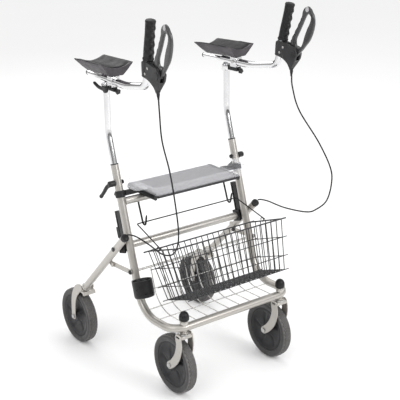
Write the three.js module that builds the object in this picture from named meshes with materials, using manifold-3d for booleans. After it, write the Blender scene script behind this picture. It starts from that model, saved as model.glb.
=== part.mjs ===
// A folding four-wheel rollator walker with forearm rests, in millimetres.
// +Z is up and the walker rolls towards -Y. The origin is on the floor, under the middle of the walker.
// The user's left side is +X. Every side piece is drawn once, on the +X side, and mirrored to the other.

import * as THREE from "three";
import { mergeVertices } from "three/addons/utils/BufferGeometryUtils.js";
import Module from "manifold-3d";

const wasm = await Module();
wasm.setup();

// ---- Driving dimensions ----

const GAP = 0.4; // between pieces that touch
const WHEEL = { radius: 100, width: 38, rim: 78, bore: 6.4, sides: 24 };
const REAR = { x: 265, y: 305 };
const CASTER = { x: 200.4, stemY: -246, axleY: -194 };
const TUBE = { radius: 13, x: 241.5, top: 717, railZ: 242, barZ: 248, bend: 95, corner: 62 };
const SLOPE = 0.3; // how far the uprights move back for each millimetre of height
const LEAN = Math.atan(SLOPE);
const UPRIGHT_FOOT_Y = -148.3; // where an upright's line meets the floor
const ROD = { z: 380.3, radius: 4 };
const SEAT = { z: 632, halfWidth: 168, front: -63, back: 101, thickness: 9 };
const LEG = { x: 272, radius: 12.5, pivotY: 24, pivotZ: 448, above: 68, capLength: 22, below: 313 };
const LEG_ANGLE = Math.atan2(169, 168); // below the horizontal
const LINK = { y: 72, z: 373, inner: 255, thickness: 3.8, halfWidth: 8 };
const RAIL = { low: 466, high: 573, halfWidth: 8, depth: 44 };
const POST = { radius: 10.9, y: 97, top: 975, inserted: 170, bend: 120 };
const HANDLE = { z: 992.5, yaw: THREE.MathUtils.degToRad(3), radius: 12, back: -118, elbow: 243 };
const HANDLE_RISE = { from: 130, height: 20, bend: 200 }; // the tube climbs a little to its elbow
const HANDLE_ROD = 7.5; // the thinner rear length of the handle tube, under the pad
const HANDLE_ROLL = THREE.MathUtils.degToRad(2); // the grip leans outwards
const GRIP = { low: 103, high: 221, topForward: 291, radius: 16 };
const PAD = { halfWidth: 57, low: 18, high: 61, front: 78, back: -107, floor: 46 };
const PAD_TILT = THREE.MathUtils.degToRad(2); // its front end is the higher one
const LEVER_PIVOT = { forward: 326, up: 66 };
const BASKET = { y: -211.5, z: 328.5, tilt: THREE.MathUtils.degToRad(20.5), height: 167, wall: 4 };
BASKET.foot = { x: 190, y: 71 };
BASKET.rim = { x: 212, y: 85 };
const TRAY = { z: SEAT.z + GAP, height: 32, wall: 3, front: -83, back: 128, halfWidth: 190 };
const CUP = { x: 252, forward: 50, z: 330, radius: 33.5, wall: 3, height: 58 };
const CABLE_RADIUS = 2.4;

// ---- Materials ----

const finish = (color, roughness, metalness) =>
  new THREE.MeshStandardMaterial({ color, roughness, metalness });
const paint = () => finish(0xc8c4be, 0.38, 0.6);
const chrome = () => finish(0xd8d8da, 0.12, 1);
const steel = () => finish(0xb4b4b6, 0.3, 0.9);
const black = () => finish(0x232326, 0.45, 0);
const blackWire = () => finish(0x1c1c1e, 0.35, 0.1);
const tyreRubber = () => finish(0x6e6c6b, 0.8, 0);
const hubPlastic = () => finish(0x3a3a3e, 0.5, 0);
const gripRubber = () => finish(0x1e1e20, 0.85, 0);
const padFoam = () => finish(0x464246, 0.7, 0);
const housingPlastic = () => finish(0x444446, 0.5, 0);
const clear = () => finish(0xe8e8f0, 0.1, 0);

// ---- Shapes ----

const at = (x, y, z) => new THREE.Vector3(x, y, z);
const uprightY = (z) => UPRIGHT_FOOT_Y + SLOPE * z;

// A closed geometry as a solid whose faces point outwards.
function solid(geometry) {
  const loose = geometry.index ? geometry.toNonIndexed() : geometry;
  const bare = new THREE.BufferGeometry().setAttribute("position", loose.getAttribute("position"));
  const merged = mergeVertices(bare, 1e-3);
  const corners = new Uint32Array(merged.index.array);
  const build = () =>
    new wasm.Manifold(
      new wasm.Mesh({ numProp: 3, vertProperties: merged.attributes.position.array, triVerts: corners }),
    );
  const made = build();
  if (made.volume() > 0) return made;
  for (let i = 0; i < corners.length; i += 3) {
    [corners[i + 1], corners[i + 2]] = [corners[i + 2], corners[i + 1]];
  }
  return build();
}

function geometryOf(body) {
  const mesh = body.getMesh();
  const geometry = new THREE.BufferGeometry();
  geometry.setAttribute("position", new THREE.BufferAttribute(new Float32Array(mesh.vertProperties), 3));
  geometry.setIndex(new THREE.BufferAttribute(new Uint32Array(mesh.triVerts), 1));
  geometry.computeVertexNormals();
  return geometry;
}

const join = (...pieces) => geometryOf(pieces.map(solid).reduce((a, b) => a.add(b)));
const cut = (piece, ...tools) => geometryOf(tools.map(solid).reduce((a, b) => a.subtract(b), solid(piece)));
const common = (a, b) => geometryOf(solid(a).intersect(solid(b)));

// A path whose rings sit exactly at the given points.
class Route extends THREE.Curve {
  constructor(points) {
    super();
    this.points = points;
  }

  getPoint(t, target = new THREE.Vector3()) {
    const place = t * (this.points.length - 1);
    const i = Math.min(Math.floor(place + 1e-9), this.points.length - 2);
    return target.lerpVectors(this.points[i], this.points[i + 1], place - i);
  }

  getPointAt(u, target) {
    return this.getPoint(u, target);
  }

  getTangentAt(u, target = new THREE.Vector3()) {
    const last = this.points.length - 1;
    const i = Math.round(u * last);
    const into = this.points[Math.max(i, 1)].clone().sub(this.points[Math.max(i, 1) - 1]);
    const out = this.points[Math.min(i, last - 1) + 1].clone().sub(this.points[Math.min(i, last - 1)]);
    return target.copy(into.normalize()).add(out.normalize()).normalize();
  }
}

// Straight runs joined by round bends, one radius for each inner corner.
function bent(corners, radii, facets = 6) {
  const points = [corners[0]];
  for (let i = 1; i < corners.length - 1; i += 1) {
    const back = corners[i - 1].clone().sub(corners[i]).normalize();
    const ahead = corners[i + 1].clone().sub(corners[i]).normalize();
    const half = back.angleTo(ahead) / 2;
    const turn = Math.PI - 2 * half;
    const reach = radii[i - 1] / Math.tan(half);
    const middle = back.clone().add(ahead).normalize();
    const centre = corners[i].clone().addScaledVector(middle, radii[i - 1] / Math.sin(half));
    const start = corners[i].clone().addScaledVector(back, reach).sub(centre);
    const end = corners[i].clone().addScaledVector(ahead, reach).sub(centre);
    for (let k = 0; k <= facets; k += 1) {
      const t = k / facets;
      const point = start.clone().multiplyScalar(Math.sin((1 - t) * turn) / Math.sin(turn));
      points.push(point.addScaledVector(end, Math.sin(t * turn) / Math.sin(turn)).add(centre));
    }
  }
  points.push(corners[corners.length - 1]);
  return points;
}

function disc(radius, sides) {
  const points = [];
  for (let i = 0; i < sides; i += 1) {
    const angle = (2 * Math.PI * i) / sides;
    points.push(new THREE.Vector2(radius * Math.cos(angle), radius * Math.sin(angle)));
  }
  return new THREE.Shape(points);
}

function tube(points, radius, sides = 12) {
  const options = { steps: points.length - 1, extrudePath: new Route(points) };
  return new THREE.ExtrudeGeometry(disc(radius, sides), options);
}

// A box between two corners.
function block(low, high) {
  const size = high.clone().sub(low);
  const centre = low.clone().add(high).multiplyScalar(0.5);
  return new THREE.BoxGeometry(size.x, size.y, size.z).translate(centre.x, centre.y, centre.z);
}

// An outline in the Y-Z plane, given as [y, z] pairs, as a plate from x = near to x = far.
function plate(outline, near, far) {
  const shape = new THREE.Shape(outline.map(([y, z]) => new THREE.Vector2(y, z)));
  const geometry = new THREE.ExtrudeGeometry(shape, { depth: far - near, bevelEnabled: false });
  const turn = new THREE.Matrix4().makeBasis(at(0, 1, 0), at(0, 0, 1), at(1, 0, 0));
  return geometry.applyMatrix4(turn).translate(near, 0, 0);
}

// The outline of a band with round ends along a smooth line of [y, z, halfWidth] points.
function band(line, steps = 8) {
  const curve = new THREE.SplineCurve(line.map(([y, z]) => new THREE.Vector2(y, z)));
  const left = [];
  const right = [];
  for (let i = 0; i <= steps; i += 1) {
    const t = i / steps;
    const p = curve.getPoint(t);
    const d = curve.getTangent(t);
    const place = t * (line.length - 1);
    const k = Math.min(Math.floor(place), line.length - 2);
    const half = THREE.MathUtils.lerp(line[k][2], line[k + 1][2], place - k);
    left.push([p.x - d.y * half, p.y + d.x * half]);
    right.push([p.x + d.y * half, p.y - d.x * half]);
  }
  const roundEnd = (t, sign) => {
    const p = curve.getPoint(t);
    const d = curve.getTangent(t).multiplyScalar(sign);
    const half = t ? line[line.length - 1][2] : line[0][2];
    const arc = [];
    for (let i = 1; i < 5; i += 1) {
      const a = (Math.PI * i) / 5;
      const along = Math.sin(a) * half;
      const across = Math.cos(a) * half;
      arc.push([p.x + d.x * along - d.y * across, p.y + d.y * along + d.x * across]);
    }
    return arc;
  };
  return [...left, ...roundEnd(1, 1), ...right.reverse(), ...roundEnd(0, -1)];
}

// A shape turned about the X axis, from [radius, x] pairs.
function turnedX(profile, sides) {
  const points = profile.map(([radius, x]) => new THREE.Vector2(radius, x));
  return new THREE.LatheGeometry(points, sides).rotateZ(-Math.PI / 2);
}

// A shape turned about the Z axis, from [radius, z] pairs.
function turnedZ(profile, sides) {
  const points = profile.map(([radius, z]) => new THREE.Vector2(radius, z));
  return new THREE.LatheGeometry(points, sides).rotateX(Math.PI / 2);
}

const ring = (inner, outer, low, high) => [
  [inner, low],
  [outer, low],
  [outer, high],
  [inner, high],
  [inner, low],
];

const solidRound = (radius, low, high) => [
  [0, low],
  [radius, low],
  [radius, high],
  [0, high],
];

// ---- Building the tree ----

const walker = new THREE.Group();

function place(parent, name, geometry, material) {
  const mesh = new THREE.Mesh(geometry, material);
  mesh.name = name;
  parent.add(mesh);
  return mesh;
}

function groupAt(parent, position, rotation = [0, 0, 0]) {
  const group = new THREE.Group();
  group.position.copy(position);
  group.rotation.set(...rotation);
  parent.add(group);
  return group;
}

// The frame of an upright: local Z runs up the tube, local Y points out of its back.
const uprightGroup = (parent, z) => groupAt(parent, at(TUBE.x, uprightY(z), z), [-LEAN, 0, 0]);
const alongUpright = (z, origin) => (z - origin) / Math.cos(LEAN);

// ---- The front frame ----

function frontFrame() {
  const knee = at(TUBE.x, uprightY(TUBE.railZ), TUBE.railZ);
  const corner = at(TUBE.x, CASTER.stemY, TUBE.barZ);
  const mirrored = (p) => at(-p.x, p.y, p.z);
  const top = at(TUBE.x, uprightY(TUBE.top), TUBE.top);
  const corners = [top, knee, corner, mirrored(corner), mirrored(knee), mirrored(top)];
  const radii = [TUBE.bend, TUBE.corner, TUBE.corner, TUBE.bend];
  const pieces = [tube(bent(corners, radii), TUBE.radius)];
  const crossZ = 600;
  pieces.push(tube([at(-TUBE.x, uprightY(crossZ), crossZ), at(TUBE.x, uprightY(crossZ), crossZ)], 12.5));
  const bores = [];
  const boreRadius = 11.6;
  const boreDepth = 235;
  const socketRadius = 13.8;
  for (const side of [-1, 1]) {
    const socket = turnedZ(solidRound(socketRadius, 232, 273), 20);
    pieces.push(socket.translate(side * CASTER.x, CASTER.stemY, 0));
    const socketBore = turnedZ(solidRound(7, 220, 290), 12);
    bores.push(socketBore.translate(side * CASTER.x, CASTER.stemY, 0));
    const bottomZ = TUBE.top - boreDepth * Math.cos(LEAN);
    const mouthZ = TUBE.top + 20;
    const boreEnds = [bottomZ, mouthZ].map((z) => at(side * TUBE.x, uprightY(z), z));
    bores.push(tube(boreEnds, boreRadius));
  }
  place(walker, "front_frame", cut(join(...pieces), ...bores), paint());
}

// Wires along the inside of the frame, from the cross rod down and forward to the front bar.
function wireRack() {
  const wire = 1.7;
  const end = CASTER.stemY + TUBE.radius + GAP;
  const pieces = [tube([at(-228, uprightY(ROD.z), ROD.z), at(228, uprightY(ROD.z), ROD.z)], ROD.radius, 8)];
  const knee = (x) => at(x, uprightY(TUBE.railZ), TUBE.railZ);
  const profile = (x) => bent([at(x, uprightY(ROD.z), ROD.z), knee(x), at(x, end, 247)], [TUBE.bend], 4);
  for (let x = -180; x <= 180; x += 45) {
    pieces.push(tube(profile(x), wire, 5));
  }
  for (const i of [1, 3, 5]) {
    const { y, z } = profile(0)[i];
    pieces.push(tube([at(-227.8, y, z), at(227.8, y, z)], wire, 5));
  }
  place(walker, "wire_rack", join(...pieces), steel());
}

function seat() {
  const lip = 18;
  const underside = SEAT.z - SEAT.thickness;
  const board = block(at(-SEAT.halfWidth, SEAT.front, underside), at(SEAT.halfWidth, SEAT.back, SEAT.z));
  const ends = [-1, 1].map((side) => {
    const inner = Math.min(side * (SEAT.halfWidth - 6), side * (SEAT.halfWidth + 5));
    const outer = Math.max(side * (SEAT.halfWidth - 6), side * (SEAT.halfWidth + 5));
    return block(at(inner, SEAT.front, SEAT.z - lip), at(outer, SEAT.back, SEAT.z - 1));
  });
  const edges = [SEAT.front, SEAT.back - 6].map((y) =>
    block(at(1 - SEAT.halfWidth, y, SEAT.z - 13), at(SEAT.halfWidth - 1, y + 6, SEAT.z - 1)),
  );
  place(walker, "seat_board", join(board, ...ends, ...edges), black());
}

function tray() {
  const slant = 16;
  const shell = (inset, low, high) => {
    const corners = [];
    for (const [z, out] of [[low, 0], [high, slant]]) {
      for (const [sx, sy] of [[-1, -1], [1, -1], [1, 1], [-1, 1]]) {
        const middle = (TRAY.front + TRAY.back) / 2;
        const halfDepth = (TRAY.back - TRAY.front) / 2;
        const x = TRAY.halfWidth - slant + out - inset;
        const y = halfDepth - slant / 2 + out / 2 - inset;
        corners.push(at(sx * x, middle + sy * y, z));
      }
    }
    return hexahedron(corners);
  };
  const top = TRAY.z + TRAY.height;
  const outside = shell(0, TRAY.z, top);
  const inside = shell(TRAY.wall, TRAY.z + TRAY.wall, top + 1);
  const tabs = [-1, 1].map((side) => {
    const from = Math.min(side * (TRAY.halfWidth - 4), side * 245);
    const to = Math.max(side * (TRAY.halfWidth - 4), side * 245);
    return block(at(from, -62, top - 4), at(to, 20, top - 1));
  });
  place(walker, "tray", cut(join(outside, ...tabs), inside), clear());
}

// A box with eight free corners: the lower four anticlockwise from above, then the upper four.
function hexahedron(corners) {
  const faces = [[0, 3, 2, 1], [4, 5, 6, 7], [0, 1, 5, 4], [1, 2, 6, 5], [2, 3, 7, 6], [3, 0, 4, 7]];
  const points = faces.flatMap(([a, b, c, d]) => [a, b, c, a, c, d]).map((i) => corners[i]);
  return new THREE.BufferGeometry().setFromPoints(points);
}

function basket() {
  const tilted = groupAt(walker, at(0, BASKET.y, BASKET.z), [-BASKET.tilt, 0, 0]);
  const level = (half, inset, z) => {
    const x = half.x - inset;
    const y = half.y - inset;
    return [at(-x, -y, z), at(x, -y, z), at(x, y, z), at(-x, y, z)];
  };
  const shell = (inset, low, high) =>
    hexahedron([...level(BASKET.foot, inset, low), ...level(BASKET.rim, inset, high)]);
  const inside = shell(BASKET.wall, BASKET.wall, BASKET.height + 1);
  place(tilted, "basket", cut(shell(0, 0, BASKET.height), inside), blackWire());

  const wire = 1.7;
  const hookBar = at(207, -2, 526);
  const end = at(215.5, -146, 487);
  const mirrored = [hookBar, end].map((p) => at(-p.x, p.y, p.z));
  const bailLine = bent([end, hookBar, ...mirrored], [8, 8], 3);
  place(walker, "basket_bail", tube(bailLine, wire, 8), blackWire());
}

// ---- Pieces that come in pairs ----

function sidePieces(half, tag) {
  // The clamp collar on the upright, with the arm that holds the seat's end.
  const collarZ = 625;
  const collar = uprightGroup(half, collarZ);
  const collarRing = turnedZ(ring(TUBE.radius + GAP, 16.2, -11, 11), 16);
  const collarBolt = tube([at(0, 15, 0), at(0, 30, 0)], 6, 8);
  const seatArm = block(at(-64.5, -9, -9), at(-15.5, 9, 9));
  place(collar, `collar_${tag}`, join(collarRing, collarBolt, seatArm), black());

  const rail = uprightGroup(half, RAIL.low);
  const railTop = alongUpright(RAIL.high, RAIL.low);
  const railFront = TUBE.radius + GAP;
  const railBody = block(at(-RAIL.halfWidth, railFront, 0), at(RAIL.halfWidth, RAIL.depth, railTop));
  place(rail, `guide_rail_${tag}`, railBody, black());

  // The hook hangs from the upper cross tube and carries the basket's bail.
  const hookX = 177;
  const crossY = uprightY(600);
  const hookLine = [
    at(hookX, crossY, 600 - 12.5 - GAP),
    at(hookX, crossY - 2, 578),
    at(hookX, 11, 527),
    at(hookX, 7, 519),
    at(hookX, 0, 516),
    at(hookX, -6, 519),
    at(hookX, -9, 527),
    at(hookX, -14, 553),
  ];
  place(half, `basket_hook_${tag}`, tube(hookLine, 3.2, 8), blackWire());

  const cap = [[0, 276], [16, 276], [16.5, 284], [14.5, 290], [13.5, 297], [9, 303], [4, 305.5], [0, 306]];
  const capGeometry = turnedZ(cap, 16).translate(CASTER.x, CASTER.stemY, 0);
  place(half, `caster_cap_${tag}`, capGeometry, black());

  carriage(half, tag);
  rearLeg(half, tag);
  caster(half, tag);
  postAndHandle(half, tag);
  heightLever(half, tag);
}

// The block that slides on the guide rail. Its pin carries the rear leg. The right one has a catch on top.
function carriage(half, tag) {
  const blockGroup = uprightGroup(half, LEG.pivotZ);
  const pivotBack = (LEG.pivotY - uprightY(LEG.pivotZ)) * Math.cos(LEAN);
  const pivotUp = (LEG.pivotY - uprightY(LEG.pivotZ)) * Math.sin(LEAN);
  const body = block(at(-15, TUBE.radius + 2, pivotUp - 20), at(15, RAIL.depth + 7, pivotUp + 20));
  const halfSlot = RAIL.halfWidth + GAP;
  const slot = block(at(-halfSlot, 0, pivotUp - 40), at(halfSlot, RAIL.depth + GAP, pivotUp + 40));
  const pinRadius = 6;
  const pinEnd = LEG.x - TUBE.x + LEG.radius + 4;
  const pin = tube([at(12, pivotBack, pivotUp), at(pinEnd, pivotBack, pivotUp)], pinRadius, 12);
  const pieces = [cut(body, slot), pin];
  if (tag === "R") {
    const back = RAIL.depth + GAP;
    const catchUp = alongUpright(RAIL.low, LEG.pivotZ) + 22;
    pieces.push(block(at(-5, back, pivotUp), at(RAIL.halfWidth, back + 4, catchUp + 10)));
    pieces.push(block(at(-5, back, catchUp), at(RAIL.halfWidth, back + 9.5, catchUp + 36)));
  }
  place(blockGroup, `carriage_block_${tag}`, join(...pieces), black());
}

function wheel(parent, prefix, tag, centre) {
  const halfWidth = WHEEL.width / 2;
  const tyreProfile = [
    [WHEEL.rim, -15],
    [84, -17.5],
    [91, -halfWidth],
    [97, -14],
    [WHEEL.radius, -6],
    [WHEEL.radius, 6],
    [97, 14],
    [91, halfWidth],
    [84, 17.5],
    [WHEEL.rim, 15],
    [WHEEL.rim, -15],
  ];
  const hubEdge = WHEEL.rim - GAP;
  const hubProfile = [
    [WHEEL.bore, -17],
    [18, -17],
    [24, -10],
    [62, -9],
    [hubEdge, -14],
    [hubEdge, 14],
    [62, 9],
    [24, 10],
    [18, 17],
    [WHEEL.bore, 17],
    [WHEEL.bore, -17],
  ];
  const group = groupAt(parent, centre);
  place(group, `${prefix}_tyre_${tag}`, turnedX(tyreProfile, WHEEL.sides), tyreRubber());
  place(group, `${prefix}_hub_${tag}`, turnedX(hubProfile, WHEEL.sides), hubPlastic());
}

// A bolt across a fork, with a head at each end outside the arms.
function axleBolt(inner) {
  const thread = 5.8;
  const head = 9;
  const reach = inner + 4 + GAP;
  const tip = reach + 4;
  const near = [[0, -tip], [head, -tip], [head, -reach], [thread, -reach]];
  const far = [[thread, reach], [head, reach], [head, tip], [0, tip]];
  return turnedX([...near, ...far], 10);
}

function rearLeg(half, tag) {
  const along = at(0, Math.cos(LEG_ANGLE), -Math.sin(LEG_ANGLE));
  const pivot = at(LEG.x, LEG.pivotY, LEG.pivotZ);
  const on = (distance) => pivot.clone().addScaledVector(along, distance);
  const tubeBody = tube([on(-LEG.above), on(LEG.below)], LEG.radius, 14);
  const inner = 21;
  const armLine = [[252, 228, 15], [280, 208, 16], [299, 160, 13], [REAR.y, WHEEL.radius, 12]];
  const arms = [-1, 1].map((side) => {
    const near = REAR.x + (side < 0 ? -inner - 4 : inner);
    return plate(band(armLine), near, near + 4);
  });
  const crown = block(at(REAR.x - inner - 2, 236, 214), at(REAR.x + inner + 2, 286, 219));
  const tab = plate(band([[92, 388, 9], [LINK.y, LINK.z, 9]], 2), LINK.inner + LINK.thickness + GAP, 264);
  const pinBore = tube([at(240, LEG.pivotY, LEG.pivotZ), at(300, LEG.pivotY, LEG.pivotZ)], 6.6, 12);
  const axleBore = tube([at(200, REAR.y, WHEEL.radius), at(320, REAR.y, WHEEL.radius)], 6.4, 12);
  const leg = cut(join(tubeBody, ...arms, crown, tab), pinBore, axleBore);
  place(half, `rear_leg_${tag}`, leg, paint());

  const capStart = LEG.above + GAP;
  const capBody = tube([on(-capStart), on(-capStart - LEG.capLength)], 14, 14);
  place(half, `leg_cap_${tag}`, capBody, black());

  wheel(half, "rear", tag, at(REAR.x, REAR.y, WHEEL.radius));
  const axle = groupAt(half, at(REAR.x, REAR.y, WHEEL.radius));
  place(axle, `rear_axle_${tag}`, axleBolt(inner), steel());

  // The brake shoe sits over the tyre, a little in front of its top.
  const shoeAngle = THREE.MathUtils.degToRad(14);
  const shoe = groupAt(half, at(REAR.x, REAR.y, WHEEL.radius), [shoeAngle, 0, 0]);
  const shoeGap = 4.5;
  const shoeBlock = block(at(-16, -18, WHEEL.radius + shoeGap), at(16, 18, WHEEL.radius + shoeGap + 6));
  place(shoe, `brake_shoe_${tag}`, shoeBlock, black());

  // The flat link runs from the upright, at the cross rod, to the tab on the leg.
  const start = [uprightY(ROD.z), ROD.z, LINK.halfWidth];
  const end = [LINK.y, LINK.z, LINK.halfWidth];
  const bar = plate(band([start, end], 2), LINK.inner, LINK.inner + LINK.thickness);
  const head = turnedX(solidRound(7.5, LINK.inner + 1, LINK.inner + LINK.thickness + 5), 10);
  place(half, `fold_link_${tag}`, join(bar, head.translate(0, start[0], start[1])), paint());
}

function caster(half, tag) {
  const inner = 21;
  const top = [CASTER.stemY + 1, 216, 15];
  const foot = [CASTER.axleY, WHEEL.radius, 13];
  const armLine = [top, [-249, 186, 15], [-238, 148, 15], [-216, 118, 14], foot];
  const arms = [-1, 1].map((side) => {
    const near = CASTER.x + (side < 0 ? -inner - 4 : inner);
    return plate(band(armLine, 7), near, near + 4);
  });
  const side = inner + 2;
  const crownLow = at(CASTER.x - side, CASTER.stemY - 16, 216);
  const crown = block(crownLow, at(CASTER.x + side, CASTER.stemY + 20, 226));
  const stem = turnedZ(solidRound(6.4, 220, 272), 12).translate(CASTER.x, CASTER.stemY, 0);
  const boss = turnedZ(solidRound(15, 222, 231.5), 16).translate(CASTER.x, CASTER.stemY, 0);
  const bore = tube([at(150, CASTER.axleY, WHEEL.radius), at(250, CASTER.axleY, WHEEL.radius)], 6.4, 12);
  place(half, `caster_fork_${tag}`, cut(join(...arms, crown, stem, boss), bore), paint());
  wheel(half, "caster", tag, at(CASTER.x, CASTER.axleY, WHEEL.radius));
  const axle = groupAt(half, at(CASTER.x, CASTER.axleY, WHEEL.radius));
  place(axle, `caster_axle_${tag}`, axleBolt(inner), steel());
}

// The lever that clamps the telescopic post in the upright.
function heightLever(half, tag) {
  const hubZ = 661;
  const hubY = uprightY(hubZ);
  const outside = TUBE.x + TUBE.radius + GAP;
  const hub = turnedX(solidRound(10, outside, outside + 22), 12).translate(0, hubY, hubZ);
  const line = [[hubY, hubZ, 8], [hubY + 32, hubZ - 26, 7], [hubY + 66, hubZ - 62, 6]];
  const arm = plate(band(line, 4), outside + 8, outside + 20);
  place(half, `height_lever_${tag}`, join(hub, arm), black());
}

function postAndHandle(half, tag) {
  const bottomZ = TUBE.top - POST.inserted * Math.cos(LEAN);
  const elbowZ = (POST.y - UPRIGHT_FOOT_Y) / SLOPE;
  const bottom = at(TUBE.x, uprightY(bottomZ), bottomZ);
  const corners = [bottom, at(TUBE.x, POST.y, elbowZ), at(TUBE.x, POST.y, POST.top)];
  place(half, `post_${tag}`, tube(bent(corners, [POST.bend], 5), POST.radius), chrome());

  // In this group -Y points forward along the forearm, and Z is the height over the handle tube.
  const handle = groupAt(half, at(TUBE.x, POST.y, HANDLE.z), [0, 0, HANDLE.yaw]);
  const foot = at(0, -HANDLE.elbow, 0);
  const gripTop = at(0, -GRIP.topForward, GRIP.high);
  const upward = gripTop.clone().sub(foot).normalize();
  const elbow = foot.clone().addScaledVector(upward, HANDLE_RISE.height / upward.z);
  const climb = at(0, -HANDLE_RISE.from, 0);
  const tubeEnd = gripTop.clone().addScaledVector(upward, -6);
  const step = at(0, 20, 0);
  const handlePath = bent([step, climb, elbow, tubeEnd], [HANDLE_RISE.bend, 32], 5);
  const rod = tube([at(0, -HANDLE.back, 0), at(0, 10, 0)], HANDLE_ROD, 12);
  const rolled = groupAt(handle, at(0, 0, 0), [0, HANDLE_ROLL, 0]);
  place(rolled, `handle_tube_${tag}`, join(tube(handlePath, HANDLE.radius), rod), chrome());
  const handleBore = tube([at(0, -HANDLE.back, 0), climb], HANDLE.radius + 1);

  const saddle = block(at(-15, -62, -16), at(15, -34, PAD.low - 1));
  const postTop = POST.top - HANDLE.z;
  const collet = turnedZ(solidRound(15.5, postTop - 18, -14.5), 16);
  const postBore = turnedZ(solidRound(POST.radius + 1, postTop - 60, postTop + 0.6), 12);
  const web = block(at(-10, -60, -34), at(10, -8, -14.5));
  place(handle, `pad_bracket_${tag}`, cut(join(saddle, collet, web), handleBore, postBore), black());

  armPad(handle, tag);

  const leverLine = [[-34, -26, 7], [10, -26, 6], [40, -16, 6]];
  place(handle, `pad_lever_${tag}`, plate(band(leverLine, 4), 17 + GAP, 26), black());

  // The grip, turned about its own sloping axis.
  const gripLow = foot.clone().addScaledVector(upward, GRIP.low / upward.z);
  const length = gripTop.distanceTo(gripLow);
  const gripGroup = groupAt(rolled, gripLow, [Math.atan2(-upward.y, upward.z), 0, 0]);
  const bore = HANDLE.radius + 0.9;
  const gripProfile = [
    [bore, 0],
    [17.5, 0],
    [17.5, 5],
    [15, 9],
    [GRIP.radius, 30],
    [14.5, 60],
    [GRIP.radius, 92],
    [15.5, 112],
    [13, length - 3],
    [8, length],
    [0, length],
    [0, length - 4],
    [bore, length - 4],
    [bore, 0],
  ];
  place(gripGroup, `grip_${tag}`, turnedZ(gripProfile, 16), gripRubber());

  brake(rolled, tag, tube(bent([climb, elbow, tubeEnd], [32], 5), HANDLE.radius + 1));
}

// A forearm gutter: a boat-shaped pad with sloping sides and a round trough along its top.
function armPad(handle, tag) {
  const outline = [[-24, PAD.low], [24, PAD.low], [PAD.halfWidth, PAD.high - 6], [PAD.halfWidth, PAD.high]];
  const trough = [];
  const steps = 10;
  for (let i = 0; i <= steps; i += 1) {
    const t = 1 - (2 * i) / steps;
    trough.push([t * (PAD.halfWidth - 5), PAD.floor + (PAD.high - PAD.floor) * t * t]);
  }
  outline.push(...trough, [-PAD.halfWidth, PAD.high], [-PAD.halfWidth, PAD.high - 6]);
  const section = plate(outline, -PAD.front, -PAD.back).rotateZ(Math.PI / 2).scale(-1, 1, 1);
  const side = [
    [-PAD.front, PAD.high + 1],
    [-PAD.back, PAD.high + 1],
    [-PAD.back, PAD.high - 4],
    [-PAD.back - 28, PAD.low - 1],
    [-PAD.front + 6, PAD.low - 1],
    [-PAD.front, PAD.high - 4],
  ];
  const tilted = groupAt(handle, at(0, 0, 0), [-PAD_TILT, 0, 0]);
  place(tilted, `arm_pad_${tag}`, common(section, plate(side, -60, 60)), padFoam());
}

// The brake housing round the handle tube, and the looped lever in its slot.
function brake(handle, tag, clearance) {
  const forward = (line) => line.map(([ahead, z]) => [-ahead, z]);
  const shell = [
    [249, 99],
    [246, 54],
    [270, 49],
    [284, 43],
    [298, 31],
    [307, 13],
    [311, 12],
    [321, 26],
    [330, 40],
    [337, 54],
    [339, 66],
    [337, 78],
    [331, 88],
    [300, 93],
    [272, 99],
  ];
  const half = 14;
  const taper = [[-half, 120], [-half, 48], [-4, 6], [4, 6], [half, 48], [half, 120]];
  const wedge = plate(taper, 200, 400).rotateZ(-Math.PI / 2);
  const body = common(plate(forward(shell), -half, half), wedge);
  const axis = (z) => at(0, -HANDLE.elbow - ((GRIP.topForward - HANDLE.elbow) * z) / GRIP.high, z);
  const sleeve = tube([axis(53), axis(99)], HANDLE.radius + 4, 16);
  const slot = block(at(-6.5, -380, 44), at(6.5, -288, 120));
  const gland = turnedZ(solidRound(4.5, -4, 16), 10).translate(0, -311, 0);
  const housing = cut(join(body, sleeve, gland), slot, clearance);
  place(handle, `brake_housing_${tag}`, housing, housingPlastic());

  const outer = [
    [LEVER_PIVOT.forward - 8, LEVER_PIVOT.up - 10],
    [LEVER_PIVOT.forward + 6, LEVER_PIVOT.up - 8],
    [343, 69],
    [355, 81],
    [367, 94],
    [384, 114],
    [395, 137],
    [401, 163],
    [400, 182],
    [396, 195],
    [386, 204],
    [383, 213],
    [369, 219],
    [354, 212],
    [348, 200],
    [347, 185],
    [331, 154],
    [309, 114],
    [303, 102],
    [306, 80],
  ];
  const hole = [
    [330, 89],
    [344, 87],
    [356, 97],
    [359, 118],
    [372, 146],
    [389, 172],
    [388, 186],
    [376, 196],
    [363, 191],
    [348, 156],
    [328, 117],
    [325, 103],
  ];
  const loop = cut(plate(forward(outer), -5, 5), plate(forward(hole), -12, 12));
  place(handle, `brake_lever_${tag}`, loop, housingPlastic());
}

// ---- Single pieces ----

function cross() {
  const reach = TUBE.x - 15 - GAP;
  const ends = [at(-reach, LEG.pivotY, LEG.pivotZ), at(reach, LEG.pivotY, LEG.pivotZ)];
  place(walker, "lower_cross_tube", tube(ends, 12.5), paint());
}

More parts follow.
